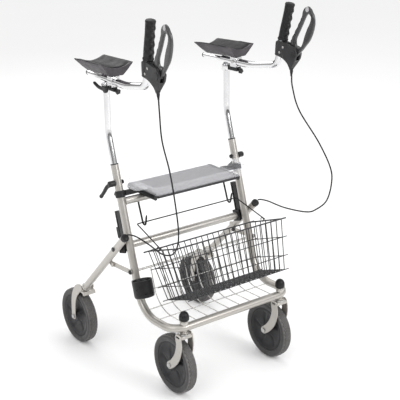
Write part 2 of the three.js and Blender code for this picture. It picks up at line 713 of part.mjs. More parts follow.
// The holder for a walking stick, clipped to the right upright.
function caneCup() {
  const tilted = groupAt(walker, at(-TUBE.x, uprightY(CUP.z), CUP.z), [-LEAN, 0, 0]);
  const low = -CUP.height / 2;
  const profile = [
    [0, low],
    [CUP.radius - 3, low],
    [CUP.radius, low + 6],
    [CUP.radius, -low],
    [CUP.radius - CUP.wall, -low],
    [CUP.radius - CUP.wall, low + 4],
    [0, low + 4],
  ];
  const cup = turnedZ(profile, 24).translate(TUBE.x - CUP.x, -CUP.forward, 0);
  const clip = turnedZ(ring(TUBE.radius + GAP, 18, 2, 24), 16);
  const neck = block(at(-14, -21, 2), at(6, -13.2, 24));
  const tubeHole = turnedZ(solidRound(TUBE.radius + GAP, -60, 60), 16);
  const cupHollow = turnedZ(solidRound(CUP.radius - CUP.wall, low + 4, 60), 24);
  const inside = cupHollow.translate(TUBE.x - CUP.x, -CUP.forward, 0);
  place(tilted, "cane_cup", cut(join(cup, clip, neck), tubeHole, inside), black());
}

// The brake cables, from each housing to the cap on each rear leg.
function cables() {
  const routes = {
    R: [
      [-258, -214.5, 988],
      [-257, -216, 950],
      [-256, -225, 865],
      [-254, -257, 781],
      [-253, -280, 694],
      [-252, -295, 604],
      [-252, -288, 550],
      [-254, -262, 516],
      [-257, -213, 503],
      [-262, -154, 515],
      [-268, -95, 524],
      [-272, -62, 522],
      [-272, -44, 516.6],
    ],
    L: [
      [258, -214.5, 988],
      [259, -219, 950],
      [262, -250, 880],
      [266, -340, 793],
      [268, -394, 722],
      [268, -402, 672],
      [268, -384, 610],
      [269, -340, 568],
      [270, -291, 543],
      [271, -184, 527],
      [272, -100, 526],
      [272, -62, 522],
      [272, -44, 516.6],
    ],
  };
  for (const [tag, route] of Object.entries(routes)) {
    const curve = new THREE.CatmullRomCurve3(route.map(([x, y, z]) => at(x, y, z)), false, "centripetal");
    place(walker, `brake_cable_${tag}`, tube(curve.getSpacedPoints(40), CABLE_RADIUS, 6), black());
  }
}

frontFrame();
wireRack();
seat();
tray();
basket();
cross();
caneCup();
cables();
for (const [tag, side] of [["R", -1], ["L", 1]]) {
  const half = groupAt(walker, at(0, 0, 0));
  half.scale.x = side;
  sidePieces(half, tag);
}

export default walker;
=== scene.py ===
"""Looks of a folding four-wheel rollator walker with forearm rests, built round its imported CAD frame.

Shapes are worked out in millimetres in the frame's own axes (+Z up, the walker rolls towards -Y, +X is the
user's left) and become metres when a piece is made. Side pieces are drawn on the +X side and mirrored.
"""
import math

import bmesh
import bpy
from mathutils import Matrix, Vector


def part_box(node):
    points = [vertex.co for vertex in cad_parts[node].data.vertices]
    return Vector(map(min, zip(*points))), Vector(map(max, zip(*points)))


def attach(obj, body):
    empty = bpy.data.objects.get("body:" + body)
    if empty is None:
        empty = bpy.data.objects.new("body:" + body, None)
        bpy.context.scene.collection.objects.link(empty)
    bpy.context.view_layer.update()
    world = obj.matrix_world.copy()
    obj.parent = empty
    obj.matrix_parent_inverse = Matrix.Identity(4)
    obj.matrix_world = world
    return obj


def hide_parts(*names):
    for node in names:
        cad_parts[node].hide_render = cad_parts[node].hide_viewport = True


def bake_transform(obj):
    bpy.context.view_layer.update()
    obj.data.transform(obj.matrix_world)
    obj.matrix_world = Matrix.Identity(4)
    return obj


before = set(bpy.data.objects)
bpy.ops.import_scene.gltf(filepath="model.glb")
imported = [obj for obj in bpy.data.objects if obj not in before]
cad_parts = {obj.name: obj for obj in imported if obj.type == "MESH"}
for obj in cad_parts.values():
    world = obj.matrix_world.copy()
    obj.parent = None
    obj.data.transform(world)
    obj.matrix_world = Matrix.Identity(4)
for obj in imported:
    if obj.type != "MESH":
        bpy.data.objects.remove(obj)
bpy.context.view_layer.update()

MM = 0.001
SIDES = (("R", -1), ("L", 1))
scene = bpy.context.scene


def centre_of(node):
    low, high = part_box(node)
    return (low + high) / 2 / MM


# ---- Driving dimensions, in millimetres ----

TUBE_X = 241.5
TUBE_RADIUS = 13
UPRIGHT_FOOT_Y = -148.3
SLOPE = 0.3
LEAN = math.atan(SLOPE)
UPRIGHT_TOP = 717
RAIL_Z = 242
BAR_Z = 248
ROD_Z = 380.3
WHEEL_RADIUS = 100
REAR_WHEEL = centre_of("rear_tyre_L")
CASTER_WHEEL = centre_of("caster_tyre_L")
STEM = centre_of("caster_cap_L")
LEG_X = 272
PIVOT = Vector((LEG_X, 24, 448))
LEG_ANGLE = math.atan2(169, 168)
POST_Y = 97
HANDLE_Z = 992.5
YAW = math.radians(3)
HANDLE_RADIUS = 12
ELBOW = 243
GRIP_LOW = 103
ROLL = math.radians(2)
GRIP_TOP = (291, 221)
PAD = {"half": 57, "low": 18, "high": 61, "floor": 46, "front": -78, "back": 107}
PAD_TILT = math.radians(-2)
LEVER_PIVOT = (326, 66)
BASKET_ORIGIN = Vector((0, -211.5, 328.5))
BASKET_TILT = math.radians(20.5)
BASKET_HEIGHT = 167
BASKET_FOOT = (190, 71)
BASKET_RIM = (212, 85)


def upright_y(z):
    return UPRIGHT_FOOT_Y + SLOPE * z


# ---- Mesh building ----

class Shape:
    """Vertices in millimetres and faces, gathered from several closed surfaces."""

    def __init__(self, verts=(), faces=()):
        self.verts = [Vector(v) for v in verts]
        self.faces = [list(f) for f in faces]

    def add(self, *others):
        for other in others:
            base = len(self.verts)
            self.verts += other.verts
            self.faces += [[base + i for i in f] for f in other.faces]
        return self

    def moved(self, matrix):
        return Shape([matrix @ v for v in self.verts], self.faces)


def smooth_line(points, count, closed=False):
    """Catmull-Rom through the points, as count + 1 points, or count points if closed."""
    pts = [Vector(p) for p in points]
    n = len(pts)
    spans = n if closed else n - 1
    out = []
    for k in range(count + (0 if closed else 1)):
        place = k * spans / count
        i = min(int(place), spans - 1)
        t = place - i
        if closed:
            a, b, c, d = (pts[(i + j) % n] for j in (-1, 0, 1, 2))
        else:
            b, c = pts[i], pts[i + 1]
            a = pts[i - 1] if i else 2 * b - c
            d = pts[i + 2] if i + 2 < n else 2 * c - b
        out.append(0.5 * (2 * b + (c - a) * t + (2 * a - 5 * b + 4 * c - d) * t * t
                          + (3 * b - a - 3 * c + d) * t ** 3))
    return out


def bent(corners, radii, facets=12):
    """Straight runs joined by round bends, one radius for each inner corner."""
    corners = [Vector(c) for c in corners]
    points = [corners[0]]
    for i, radius in enumerate(radii, start=1):
        back = (corners[i - 1] - corners[i]).normalized()
        ahead = (corners[i + 1] - corners[i]).normalized()
        half = back.angle(ahead) / 2
        turn = math.pi - 2 * half
        centre = corners[i] + (back + ahead).normalized() * radius / math.sin(half)
        start = corners[i] + back * radius / math.tan(half) - centre
        end = corners[i] + ahead * radius / math.tan(half) - centre
        for k in range(facets + 1):
            t = k / facets
            out = start * math.sin((1 - t) * turn) + end * math.sin(t * turn)
            points.append(centre + out / math.sin(turn))
    points.append(corners[-1])
    return points


def sweep(points, radius, sides=20):
    """A round tube along a line of points. radius is one number or one for each point."""
    pts = [Vector(p) for p in points]
    n = len(pts)
    radii = radius if isinstance(radius, (list, tuple)) else [radius] * n
    verts = []
    normal = None
    last = None
    for i, p in enumerate(pts):
        into = (pts[max(i, 1)] - pts[max(i, 1) - 1]).normalized()
        out = (pts[min(i, n - 2) + 1] - pts[min(i, n - 2)]).normalized()
        tangent = (into + out).normalized()
        if normal is None:
            up = Vector((0, 0, 1)) if abs(tangent.z) < 0.9 else Vector((1, 0, 0))
            normal = (up - tangent * up.dot(tangent)).normalized()
        else:
            normal = (last.rotation_difference(tangent) @ normal).normalized()
        last = tangent
        side = tangent.cross(normal)
        for k in range(sides):
            a = 2 * math.pi * k / sides
            verts.append(p + (normal * math.cos(a) + side * math.sin(a)) * radii[i])
    faces = [[i * sides + k, i * sides + (k + 1) % sides, (i + 1) * sides + (k + 1) % sides,
              (i + 1) * sides + k]
             for i in range(n - 1) for k in range(sides)]
    faces.append(list(range(sides))[::-1])
    faces.append([(n - 1) * sides + k for k in range(sides)])
    return Shape(verts, faces)


def axis_matrix(origin, direction):
    """Turns +Z to direction and moves the origin."""
    turn = Vector((0, 0, 1)).rotation_difference(Vector(direction)).to_matrix().to_4x4()
    return Matrix.Translation(Vector(origin)) @ turn


def lathe(profile, origin=(0, 0, 0), direction=(0, 0, 1), sides=40, wave=None):
    """Turned about direction from (radius, height) pairs. wave(angle, height) adds to the radius."""
    matrix = axis_matrix(origin, direction)
    verts = []
    rings = []
    for radius, height in profile:
        if radius < 1e-6:
            rings.append([len(verts)])
            verts.append(matrix @ Vector((0, 0, height)))
            continue
        rings.append(list(range(len(verts), len(verts) + sides)))
        for k in range(sides):
            a = 2 * math.pi * k / sides
            r = radius + (wave(a, height) if wave else 0)
            verts.append(matrix @ Vector((r * math.cos(a), r * math.sin(a), height)))
    faces = []
    for low, high in zip(rings, rings[1:]):
        for k in range(sides):
            j = (k + 1) % sides
            if len(low) == 1 and len(high) == 1:
                continue
            if len(low) == 1:
                faces.append([low[0], high[j], high[k]][::-1])
            elif len(high) == 1:
                faces.append([low[k], low[j], high[0]])
            else:
                faces.append([low[k], low[j], high[j], high[k]])
    return Shape(verts, faces)


def loft(loops):
    """Skins a list of loops that have the same number of points, with flat ends."""
    n = len(loops[0])
    verts = [v for loop in loops for v in loop]
    faces = [[i * n + k, i * n + (k + 1) % n, (i + 1) * n + (k + 1) % n, (i + 1) * n + k]
             for i in range(len(loops) - 1) for k in range(n)]
    faces.append(list(range(n))[::-1])
    faces.append([(len(loops) - 1) * n + k for k in range(n)])
    return Shape(verts, faces)


def slab(outline, near, far):
    """An outline of (y, z) pairs as a plate from x = near to x = far."""
    return loft([[Vector((x, y, z)) for y, z in outline] for x in (near, far)])


def block(low, high):
    (x0, y0, z0), (x1, y1, z1) = low, high
    return loft([[Vector((x0, y0, z)), Vector((x1, y0, z)), Vector((x1, y1, z)), Vector((x0, y1, z))]
                 for z in (z0, z1)])


def band(line, steps=24):
    """The outline of a band with round ends along a smooth line of (y, z, half width) points."""
    pts = smooth_line([(y, z, 0) for y, z, _ in line], steps)
    left = []
    right = []
    ends = []
    for i, p in enumerate(pts):
        d = (pts[min(i + 1, steps)] - pts[max(i - 1, 0)]).normalized()
        place = i * (len(line) - 1) / steps
        k = min(int(place), len(line) - 2)
        half = line[k][2] + (line[k + 1][2] - line[k][2]) * (place - k)
        left.append((p.x - d.y * half, p.y + d.x * half))
        right.append((p.x + d.y * half, p.y - d.x * half))
        if i in (0, steps):
            ends.append((p, d, half))
    arcs = []
    for (p, d, half), sign in zip(ends, (-1, 1)):
        arc = []
        for i in range(1, 10):
            a = math.pi * i / 10
            along = math.sin(a) * half * sign
            across = math.cos(a) * half * sign
            arc.append((p.x + d.x * along - d.y * across, p.y + d.y * along + d.x * across))
        arcs.append(arc)
    return left + arcs[1] + right[::-1] + arcs[0]


def rounded_rectangle(half_x, half_y, radius, steps=8):
    """Points of a rounded rectangle, anticlockwise from the +X side."""
    points = []
    for quarter, (sx, sy) in enumerate(((1, 1), (-1, 1), (-1, -1), (1, -1))):
        for i in range(steps + 1):
            a = math.pi / 2 * (quarter + i / steps)
            points.append((sx * (half_x - radius) + radius * math.cos(a),
                           sy * (half_y - radius) + radius * math.sin(a)))
    return points


def piece(name, shape, body, material, nodes=(), side=1, bevel=0, smooth=38):
    """Makes a mesh object in metres from a shape, mirrored if side is -1, riding on a body."""
    flip = side < 0
    mesh = bpy.data.meshes.new(name)
    verts = [(side * v.x * MM, v.y * MM, v.z * MM) for v in shape.verts]
    faces = [f[::-1] if flip else f for f in shape.faces]
    mesh.from_pydata(verts, [], faces)
    bm = bmesh.new()
    bm.from_mesh(mesh)
    bmesh.ops.recalc_face_normals(bm, faces=bm.faces)
    bm.to_mesh(mesh)
    bm.free()
    mesh.shade_smooth()
    mesh.set_sharp_from_angle(angle=math.radians(smooth))
    obj = bpy.data.objects.new(name, mesh)
    scene.collection.objects.link(obj)
    mesh.materials.append(material)
    if bevel:
        modifier = obj.modifiers.new("bevel", "BEVEL")
        modifier.width = bevel * MM
        modifier.segments = 3
        modifier.limit_method = "ANGLE"
        modifier.angle_limit = math.radians(30)
        modifier.use_clamp_overlap = True
        modifier.harden_normals = True
    if body:
        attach(obj, body)
    if nodes:
        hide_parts(*nodes)
    return obj


# ---- Materials ----

class Nodes:
    """A Principled material with short helpers for its node tree."""

    def __init__(self, name, roughness=0.5, metallic=0.0):
        self.material = bpy.data.materials.new(name)
        self.material.use_nodes = True
        self.tree = self.material.node_tree
        self.shader = self.tree.nodes["Principled BSDF"]
        self.shader.inputs["Metallic"].default_value = metallic
        self.shader.inputs["Roughness"].default_value = roughness
        self.place = self.node("ShaderNodeTexCoord").outputs["Object"]

    def node(self, kind, **values):
        made = self.tree.nodes.new(kind)
        for key, value in values.items():
            setattr(made, key, value)
        return made

    def link(self, a, b):
        self.tree.links.new(a, b)

    def noise(self, scale, detail=3.0, stretch=None):
        made = self.node("ShaderNodeTexNoise")
        made.inputs["Scale"].default_value = scale
        made.inputs["Detail"].default_value = detail
        self.link(self.stretched(stretch), made.inputs["Vector"])
        return made.outputs["Fac"]

    def stretched(self, stretch):
        if not stretch:
            return self.place
        mapping = self.node("ShaderNodeMapping")
        mapping.inputs["Scale"].default_value = stretch
        self.link(self.place, mapping.inputs["Vector"])
        return mapping.outputs["Vector"]

    def voronoi(self, scale, output="Distance", stretch=None):
        made = self.node("ShaderNodeTexVoronoi")
        made.inputs["Scale"].default_value = scale
        self.link(self.stretched(stretch), made.inputs["Vector"])
        return made.outputs[output]

    def ramp(self, source, stops):
        made = self.node("ShaderNodeValToRGB")
        elements = made.color_ramp.elements
        while len(elements) < len(stops):
            elements.new(0.5)
        for element, (position, colour) in zip(elements, stops):
            element.position = position
            element.color = (*colour, 1)
        self.link(source, made.inputs["Fac"])
        return made.outputs["Color"]

    def span(self, source, low, high, source_low=0.3, source_high=0.7):
        made = self.node("ShaderNodeMapRange")
        made.inputs["From Min"].default_value = source_low
        made.inputs["From Max"].default_value = source_high
        made.inputs["To Min"].default_value = low
        made.inputs["To Max"].default_value = high
        self.link(source, made.inputs["Value"])
        return made.outputs["Result"]

    def blend(self, factor, a, b, mode="MIX"):
        made = self.node("ShaderNodeMix", data_type="RGBA", blend_type=mode)
        for value, socket in ((factor, made.inputs[0]), (a, made.inputs[6]), (b, made.inputs[7])):
            if isinstance(value, bpy.types.NodeSocket):
                self.link(value, socket)
            else:
                socket.default_value = value if isinstance(value, float) else (*value, 1)
        return made.outputs[2]

    def add_bump(self, source, strength, distance):
        made = self.node("ShaderNodeBump")
        made.inputs["Strength"].default_value = strength
        made.inputs["Distance"].default_value = distance
        self.link(source, made.inputs["Height"])
        if self.shader.inputs["Normal"].is_linked:
            self.link(self.shader.inputs["Normal"].links[0].from_socket, made.inputs["Normal"])
        self.link(made.outputs["Normal"], self.shader.inputs["Normal"])
        return self

    def facing(self, axis):
        """How squarely the surface faces along one object axis, 0 to 1."""
        split = self.node("ShaderNodeSeparateXYZ")
        self.link(self.tree.nodes["Texture Coordinate"].outputs["Normal"], split.inputs["Vector"])
        size = self.node("ShaderNodeMath", operation="ABSOLUTE")
        self.link(split.outputs[axis], size.inputs[0])
        return size.outputs["Value"]

    def edge(self):
        """1 on convex edges, 0 elsewhere: wear on most materials, on the lever partly a painted highlight."""
        geometry = self.node("ShaderNodeNewGeometry")
        return self.span(geometry.outputs["Pointiness"], 0, 1, 0.54, 0.62)

    def colour(self, source):
        self.link(source, self.shader.inputs["Base Color"])
        return self

    def roughness(self, source):
        self.link(source, self.shader.inputs["Roughness"])
        return self


def metallic_paint():
    n = Nodes("champagne_paint", metallic=0.7)
    flake = n.ramp(n.voronoi(2600, "Color"), [(0.0, (0.40, 0.38, 0.35)), (1.0, (0.53, 0.505, 0.47))])
    clouded = n.blend(n.span(n.noise(9), 0.0, 0.35), flake, (0.43, 0.41, 0.38))
    n.colour(n.blend(n.edge(), clouded, (0.60, 0.58, 0.55)))
    n.roughness(n.span(n.noise(40), 0.28, 0.38))
    n.shader.inputs["Coat Weight"].default_value = 0.35
    n.shader.inputs["Coat Roughness"].default_value = 0.12
    return n.add_bump(n.noise(900, 2), 0.12, 0.0002).material


def polished_chrome():
    n = Nodes("polished_chrome", metallic=1.0)
    n.colour(n.ramp(n.noise(14), [(0.3, (0.70, 0.70, 0.71)), (0.7, (0.80, 0.80, 0.81))]))
    n.roughness(n.span(n.noise(55, 5, (1, 1, 0.25)), 0.05, 0.16))
    return n.add_bump(n.noise(25, 2), 0.05, 0.0004).material


def bright_wire():
    n = Nodes("bright_wire", metallic=0.9)
    n.colour(n.ramp(n.noise(70), [(0.3, (0.52, 0.51, 0.49)), (0.7, (0.68, 0.67, 0.65))]))
    n.roughness(n.span(n.noise(160), 0.22, 0.38))
    return n.add_bump(n.noise(600, 2, (1, 1, 0.2)), 0.15, 0.0002).material


def zinc_bolt():
    n = Nodes("zinc_bolt", metallic=1.0)
    n.colour(n.ramp(n.noise(220), [(0.3, (0.42, 0.42, 0.43)), (0.7, (0.62, 0.61, 0.58))]))
    n.roughness(n.span(n.noise(300), 0.25, 0.5))
    return n.add_bump(n.noise(1500, 2), 0.2, 0.0002).material


def moulded(name, dark, light, low, high, grain, depth):
    """Injection-moulded plastic: a fine spark grain, uneven gloss and lighter rubbed edges."""
    n = Nodes(name)
    mottled = n.ramp(n.noise(35, 4), [(0.3, dark), (0.7, light)])
    worn = tuple(min(1.0, c * 2.2 + 0.02) for c in light)
    n.colour(n.blend(n.edge(), mottled, worn))
    n.roughness(n.span(n.noise(60, 4), low, high))
    n.shader.inputs["Specular IOR Level"].default_value = 0.28
    return n.add_bump(n.noise(grain, 3), depth, 0.0003).material


def glossy_lever():
    n = Nodes("lever_plastic")
    # the lever's convex edges turn grey: partly wear, partly a painted highlight
    n.colour(n.blend(n.edge(), n.ramp(n.noise(35, 4), [(0.3, (0.020, 0.020, 0.022)), (0.7, (0.032, 0.032,
        0.034))]),
                     (0.16, 0.16, 0.165)))
    n.roughness(n.span(n.noise(60, 4), 0.22, 0.36))
    n.shader.inputs["Coat Weight"].default_value = 0.5
    n.shader.inputs["Coat Roughness"].default_value = 0.18
    return n.add_bump(n.noise(1200, 3), 0.15, 0.0003).material


def seat_plastic():
    n = Nodes("seat_plastic")
    n.colour(n.ramp(n.noise(28, 4), [(0.3, (0.018, 0.017, 0.019)), (0.7, (0.036, 0.034, 0.038))]))
    n.roughness(n.span(n.noise(50), 0.42, 0.6))
    n.add_bump(n.voronoi(420), 0.35, 0.0005)
    return n.add_bump(n.noise(1400, 2), 0.2, 0.0002).material


def tyre_rubber():
    n = Nodes("tyre_rubber")
    base = n.ramp(n.noise(45, 5), [(0.3, (0.095, 0.092, 0.090)), (0.7, (0.145, 0.140, 0.137))])
    dust = n.span(n.noise(12, 4), 0.0, 0.35, 0.45, 0.75)
    tread = n.blend(dust, base, (0.20, 0.195, 0.19))
    # the sidewalls, which face along X, are painted darker than the tread: painted shade
    n.colour(n.blend(n.span(n.facing("X"), 0, 1, 0.55, 0.85), tread, (0.045, 0.043, 0.043)))
    n.roughness(n.span(n.noise(90), 0.38, 0.58))
    return n.add_bump(n.noise(1100, 3), 0.3, 0.0003).material


def grip_rubber():
    n = Nodes("grip_rubber")
    n.colour(n.ramp(n.noise(60, 4), [(0.3, (0.006, 0.006, 0.007)), (0.7, (0.014, 0.014, 0.015))]))
    n.roughness(n.span(n.noise(130), 0.36, 0.55))
    n.shader.inputs["Specular IOR Level"].default_value = 0.3
    return n.add_bump(n.voronoi(900), 0.3, 0.0003).material


def pad_foam(name, dark, light):
    n = Nodes(name)
    n.colour(n.ramp(n.noise(24, 5), [(0.3, dark), (0.7, light)]))
    n.roughness(n.span(n.noise(40, 4), 0.38, 0.55))
    n.add_bump(n.voronoi(650), 0.35, 0.0004)
    n.shader.inputs["Specular IOR Level"].default_value = 0.14
    return n.add_bump(n.noise(120, 4), 0.25, 0.0006).material


def clear_plastic():
    n = Nodes("clear_plastic")
    # the milky white film stands in for reflections and is denser on level faces than on walls: painted
    # reflection
    n.colour(n.ramp(n.noise(6, 2), [(0.3, (0.86, 0.86, 0.90)), (0.7, (0.93, 0.93, 0.96))]))
    n.roughness(n.span(n.noise(30, 4), 0.05, 0.13))
    n.link(n.span(n.facing("Z"), 0.09, 0.22, 0.5, 0.9), n.shader.inputs["Alpha"])
    n.shader.inputs["IOR"].default_value = 1.49
    n.material.surface_render_method = "BLENDED"
    return n.add_bump(n.noise(18, 2), 0.06, 0.0006).material


PAINT = metallic_paint()
CHROME = polished_chrome()
WIRE = bright_wire()
BOLT = zinc_bolt()
BLACK = moulded("black_plastic", (0.007, 0.007, 0.008), (0.016, 0.016, 0.017), 0.24, 0.40, 1300, 0.25)
BLACK_WIRE = moulded("black_coated_wire", (0.005, 0.005, 0.006), (0.012, 0.012, 0.013), 0.22, 0.36, 700, 0.15)
SHEATH = moulded("cable_sheath", (0.005, 0.005, 0.005), (0.012, 0.012, 0.013), 0.30, 0.42, 1600, 0.12)
HUB = moulded("hub_plastic", (0.012, 0.012, 0.014), (0.022, 0.022, 0.025), 0.30, 0.48, 1000, 0.25)
HOUSING = moulded("housing_plastic", (0.024, 0.024, 0.026), (0.038, 0.038, 0.040), 0.36, 0.48, 1200, 0.3)
SEAT = seat_plastic()
TYRE = tyre_rubber()
GRIP = grip_rubber()
LEVER = glossy_lever()
# the lever knob's light grey is partly wear, partly a painted highlight
KNOB_HIGHLIGHT_AND_WEAR = moulded("lever_knob_highlight_and_wear", (0.36, 0.35, 0.36), (0.46, 0.45, 0.46), 0.28, 0.40, 1200, 0.15)
PAD_SHELL = pad_foam("pad_shell_foam", (0.060, 0.055, 0.060), (0.090, 0.083, 0.089))
PAD_TOP = pad_foam("pad_top_foam", (0.008, 0.007, 0.008), (0.016, 0.014, 0.016))
CLEAR = clear_plastic()


# ---- The fixed frame ----

def weld(point, direction, radius, size=2.2):
    """A fillet ring where a tube meets another."""
    profile = [(radius - 1, -size), (radius + size, -size * 0.3), (radius + size * 0.6, size * 0.7),
               (radius - 1, size)]
    return lathe(profile, point, direction, 28)


def front_frame():
    top = Vector((TUBE_X, upright_y(UPRIGHT_TOP), UPRIGHT_TOP))
    knee = Vector((TUBE_X, upright_y(RAIL_Z), RAIL_Z))
    corner = Vector((TUBE_X, STEM.y, BAR_Z))
    flip = [Vector((-p.x, p.y, p.z)) for p in (corner, knee, top)]
    line = bent([top, knee, corner, *flip], [95, 52, 52, 95], 20)
    shape = sweep(line, TUBE_RADIUS, 32)
    cross = Vector((0, upright_y(600), 600))
    shape.add(sweep([cross + Vector((x, 0, 0)) for x in (-232, 232)], 12.5, 32))
    for side in (-1, 1):
        shape.add(weld(cross + Vector((side * 229, 0, 0)), (side, 0, 0), 12.5))
        x = side * STEM.x
        socket = [(6.8, 231.6), (13.2, 231.6), (13.8, 232.4), (13.8, 235), (9.8, 235.6), (9.8, 262),
                  (13.8, 262.6),
                  (13.8, 272.2), (13.2, 273), (6.8, 273), (6.8, 231.6)]
        shape.add(lathe(socket, (x, STEM.y, 0), sides=32))
    piece("frame_tube", shape, "frame", PAINT, ["front_frame"])
    # the plastic lining ring in the mouth of each upright, round the post
    for tag, side in SIDES:
        direction = (0, math.sin(LEAN), math.cos(LEAN))
        lining = [(11.05, -6), (12.4, -6), (12.4, 0.2), (13.4, 0.4), (13.6, 2.2), (12.8, 3.4), (11.05, 3.4),
                  (11.05, -6)]
        piece(f"upright_lining_{tag}", lathe(lining, top, direction, 32), "frame", BLACK, side=side)


def wire_rack():
    radius = 1.7
    end = STEM.y + TUBE_RADIUS + 0.4
    rod_y = upright_y(ROD_Z)
    shape = sweep([(-228, rod_y, ROD_Z), (228, rod_y, ROD_Z)], 4, 16)
    line = bent([(0, rod_y, ROD_Z), (0, upright_y(RAIL_Z), RAIL_Z), (0, end, 247)], [95], 14)
    for x in range(-180, 181, 45):
        shape.add(sweep([p + Vector((x, 0, 0)) for p in line], radius, 10))
    for i in (1, 8, 14):
        y, z = line[i].y, line[i].z - 2 * radius + 0.4
        shape.add(sweep([(-227.8, y, z), (227.8, y, z)], radius, 10))
    piece("rack_wires", shape, "frame", WIRE, ["wire_rack"])


def seat():
    half_y = 82
    middle = 19
    loops = []
    for z, inset in ((623, 3), (624, 1), (627, 0), (630, 0), (631.4, 1), (632, 3)):
        outline = rounded_rectangle(168 - inset, half_y - inset, 10)
        loops.append([Vector((x, middle + y, z)) for x, y in outline])
    shape = loft(loops)
    for y in (-61, 99):
        shape.add(sweep([(-163, y, 623), (163, y, 623)], 3.6, 12))
    piece("seat_panel", shape, "frame", SEAT, ["seat_board"])
    # rolled, ribbed lips at both ends
    for tag, side in SIDES:
        ribs = []
        count = 34
        for i in range(count * 4 + 1):
            y = middle - half_y + 4 + (2 * half_y - 8) * i / (count * 4)
            deep = 2.2 if i % 4 in (1, 2) else 0
            section = smooth_line([(158, 0, 632.6), (170 - deep, 0, 632.4), (175.5 - deep, 0, 627),
                                   (175.5 - deep, 0, 619), (172, 0, 614), (166, 0, 614.6), (163, 0, 621)],
                                  20, closed=True)
            ribs.append([Vector((p.x, y, p.z)) for p in section])
        piece(f"seat_lip_{tag}", loft(ribs), "frame", BLACK, side=side)


def tray():
    middle = 22.5
    levels = [(632.5, -18, 8), (632.5, -17, 9), (634, -15.4, 10), (648, -8, 13), (661, -2.5, 15),
              (662.4, -1.5, 16),
              (662.6, 3.0, 18), (663.4, 3.8, 18), (664.4, 3.0, 18), (664.4, -3.6, 14), (662.6, -4.8, 13),
              (648, -10.8, 11), (637.4, -17.0, 9), (635.5, -19.4, 8), (635.4, -21, 8)]
    loops = []
    for z, out, radius in levels:
        outline = rounded_rectangle(190 + out, 105.5 + out * 0.55, radius, 10)
        loops.append([Vector((x, middle + y, z)) for x, y in outline])
    piece("clear_tray", loft(loops), "tray", CLEAR, ["tray"], smooth=50)
    for tag, side in SIDES:
        outline = rounded_rectangle(25.5, 41, 14, 8)
        handle = loft([[Vector((219.2 + x * s, -21 + y * s, z)) for x, y in outline]
                       for z, s in ((660.4, 0.97), (661, 1.0), (662.6, 1.0), (663.2, 0.97))])
        piece(f"tray_handle_{tag}", handle, "tray", CLEAR, side=side)


def basket_point(x, y, z):
    """A point of the basket's own upright frame, tilted into place."""
    c, s = math.cos(BASKET_TILT), math.sin(BASKET_TILT)
    return BASKET_ORIGIN + Vector((x, y * c + z * s, -y * s + z * c))


def basket_half(z):
    t = z / BASKET_HEIGHT
    return [foot + (rim - foot) * t for foot, rim in zip(BASKET_FOOT, BASKET_RIM)]


def basket():
    thin, thick, overrun = 1.55, 2.5, 18
    shape = Shape()
    for z, radius in ((0, thin), (46, thin), (107, thin), (BASKET_HEIGHT, thick)):
        x, y = basket_half(z)
        for end in (-1, 1):
            shape.add(sweep([basket_point(-x - overrun, end * (y + thin), z),
                             basket_point(x + overrun, end * (y + thin), z)], radius, 10))
            shape.add(sweep([basket_point(end * x, -y, z), basket_point(end * x, y, z)], radius, 10))
    x_foot, y_foot = BASKET_FOOT
    x_rim, y_rim = BASKET_RIM
    columns = 19
    for i in range(columns):
        t = 2 * i / (columns - 1) - 1
        corners = [basket_point(t * x_rim, -y_rim, BASKET_HEIGHT), basket_point(t * x_foot, -y_foot, 0),
                   basket_point(t * x_foot, y_foot, 0), basket_point(t * x_rim, y_rim, BASKET_HEIGHT)]
        shape.add(sweep(bent(corners, [5, 5], 3), thin, 8))
    rows = 7
    for i in range(rows):
        t = 2 * i / (rows - 1) - 1
        corners = [basket_point(-x_rim, t * y_rim, BASKET_HEIGHT), basket_point(-x_foot, t * y_foot, 0),
                   basket_point(x_foot, t * y_foot, 0), basket_point(x_rim, t * y_rim, BASKET_HEIGHT)]
        shape.add(sweep(bent(corners, [5, 5], 3), thin, 8))
    for i in range(1, 12):
        y = y_foot * (2 * i / 12 - 1)
        shape.add(sweep([basket_point(-x_foot, y, thin), basket_point(x_foot, y, thin)], thin, 8))
    # the small eyes on each end's rim that hold the bail
    for side in (-1, 1):
        eye = smooth_line([basket_point(side * (x_rim + 3), 20 + 7 * math.cos(a),
                                        BASKET_HEIGHT + 4 + 7 * math.sin(a))
                           for a in [2 * math.pi * k / 8 for k in range(7)]], 24)
        shape.add(sweep(eye, 1.5, 8))
    piece("basket_wires", shape, "basket", BLACK_WIRE, ["basket"])
    bar, end = Vector((207, -2, 526)), Vector((215.5, -146, 487))
    flip = [Vector((-p.x, p.y, p.z)) for p in (bar, end)]
    bail = sweep(bent([end, bar, *flip], [6, 6], 8), 2.1, 12)
    piece("bail_wire", bail, "basket", BLACK_WIRE, ["basket_bail"])


def cane_cup():
    matrix = (Matrix.Translation(Vector((-TUBE_X, upright_y(330), 330))) @ Matrix.Rotation(-LEAN, 4, "X"))
    outer, wall, low, high = 33.5, 3, -29, 29
    profile = [(0, low), (outer - 8, low), (outer - 2.5, low + 1.4), (outer - 0.4, low + 5),
               (outer, low + 12),
               (outer, high - 5), (outer, high - 1), (outer - 1, high), (outer - wall + 0.6, high),
               (outer - wall, high - 1), (outer - wall - 0.6, low + 8), (outer - wall - 5, low + 4.4),
               (0, low + 4)]
    cup = lathe(profile, (TUBE_X - 252, -50, 0), sides=64)
    clip = lathe([(13.4, 3), (17, 3), (18, 4.5), (18, 21.5), (17, 23), (13.4, 23), (13.4, 3)], sides=40)
    cup.add(clip, block((-12, -21, 4), (5, -14, 22)))
    piece("stick_cup", cup.moved(matrix), "frame", BLACK, ["cane_cup"])


def upright_matrix(z):
    """Local Z runs up the left upright, local Y points out of its back."""
    return Matrix.Translation(Vector((TUBE_X, upright_y(z), z))) @ Matrix.Rotation(-LEAN, 4, "X")


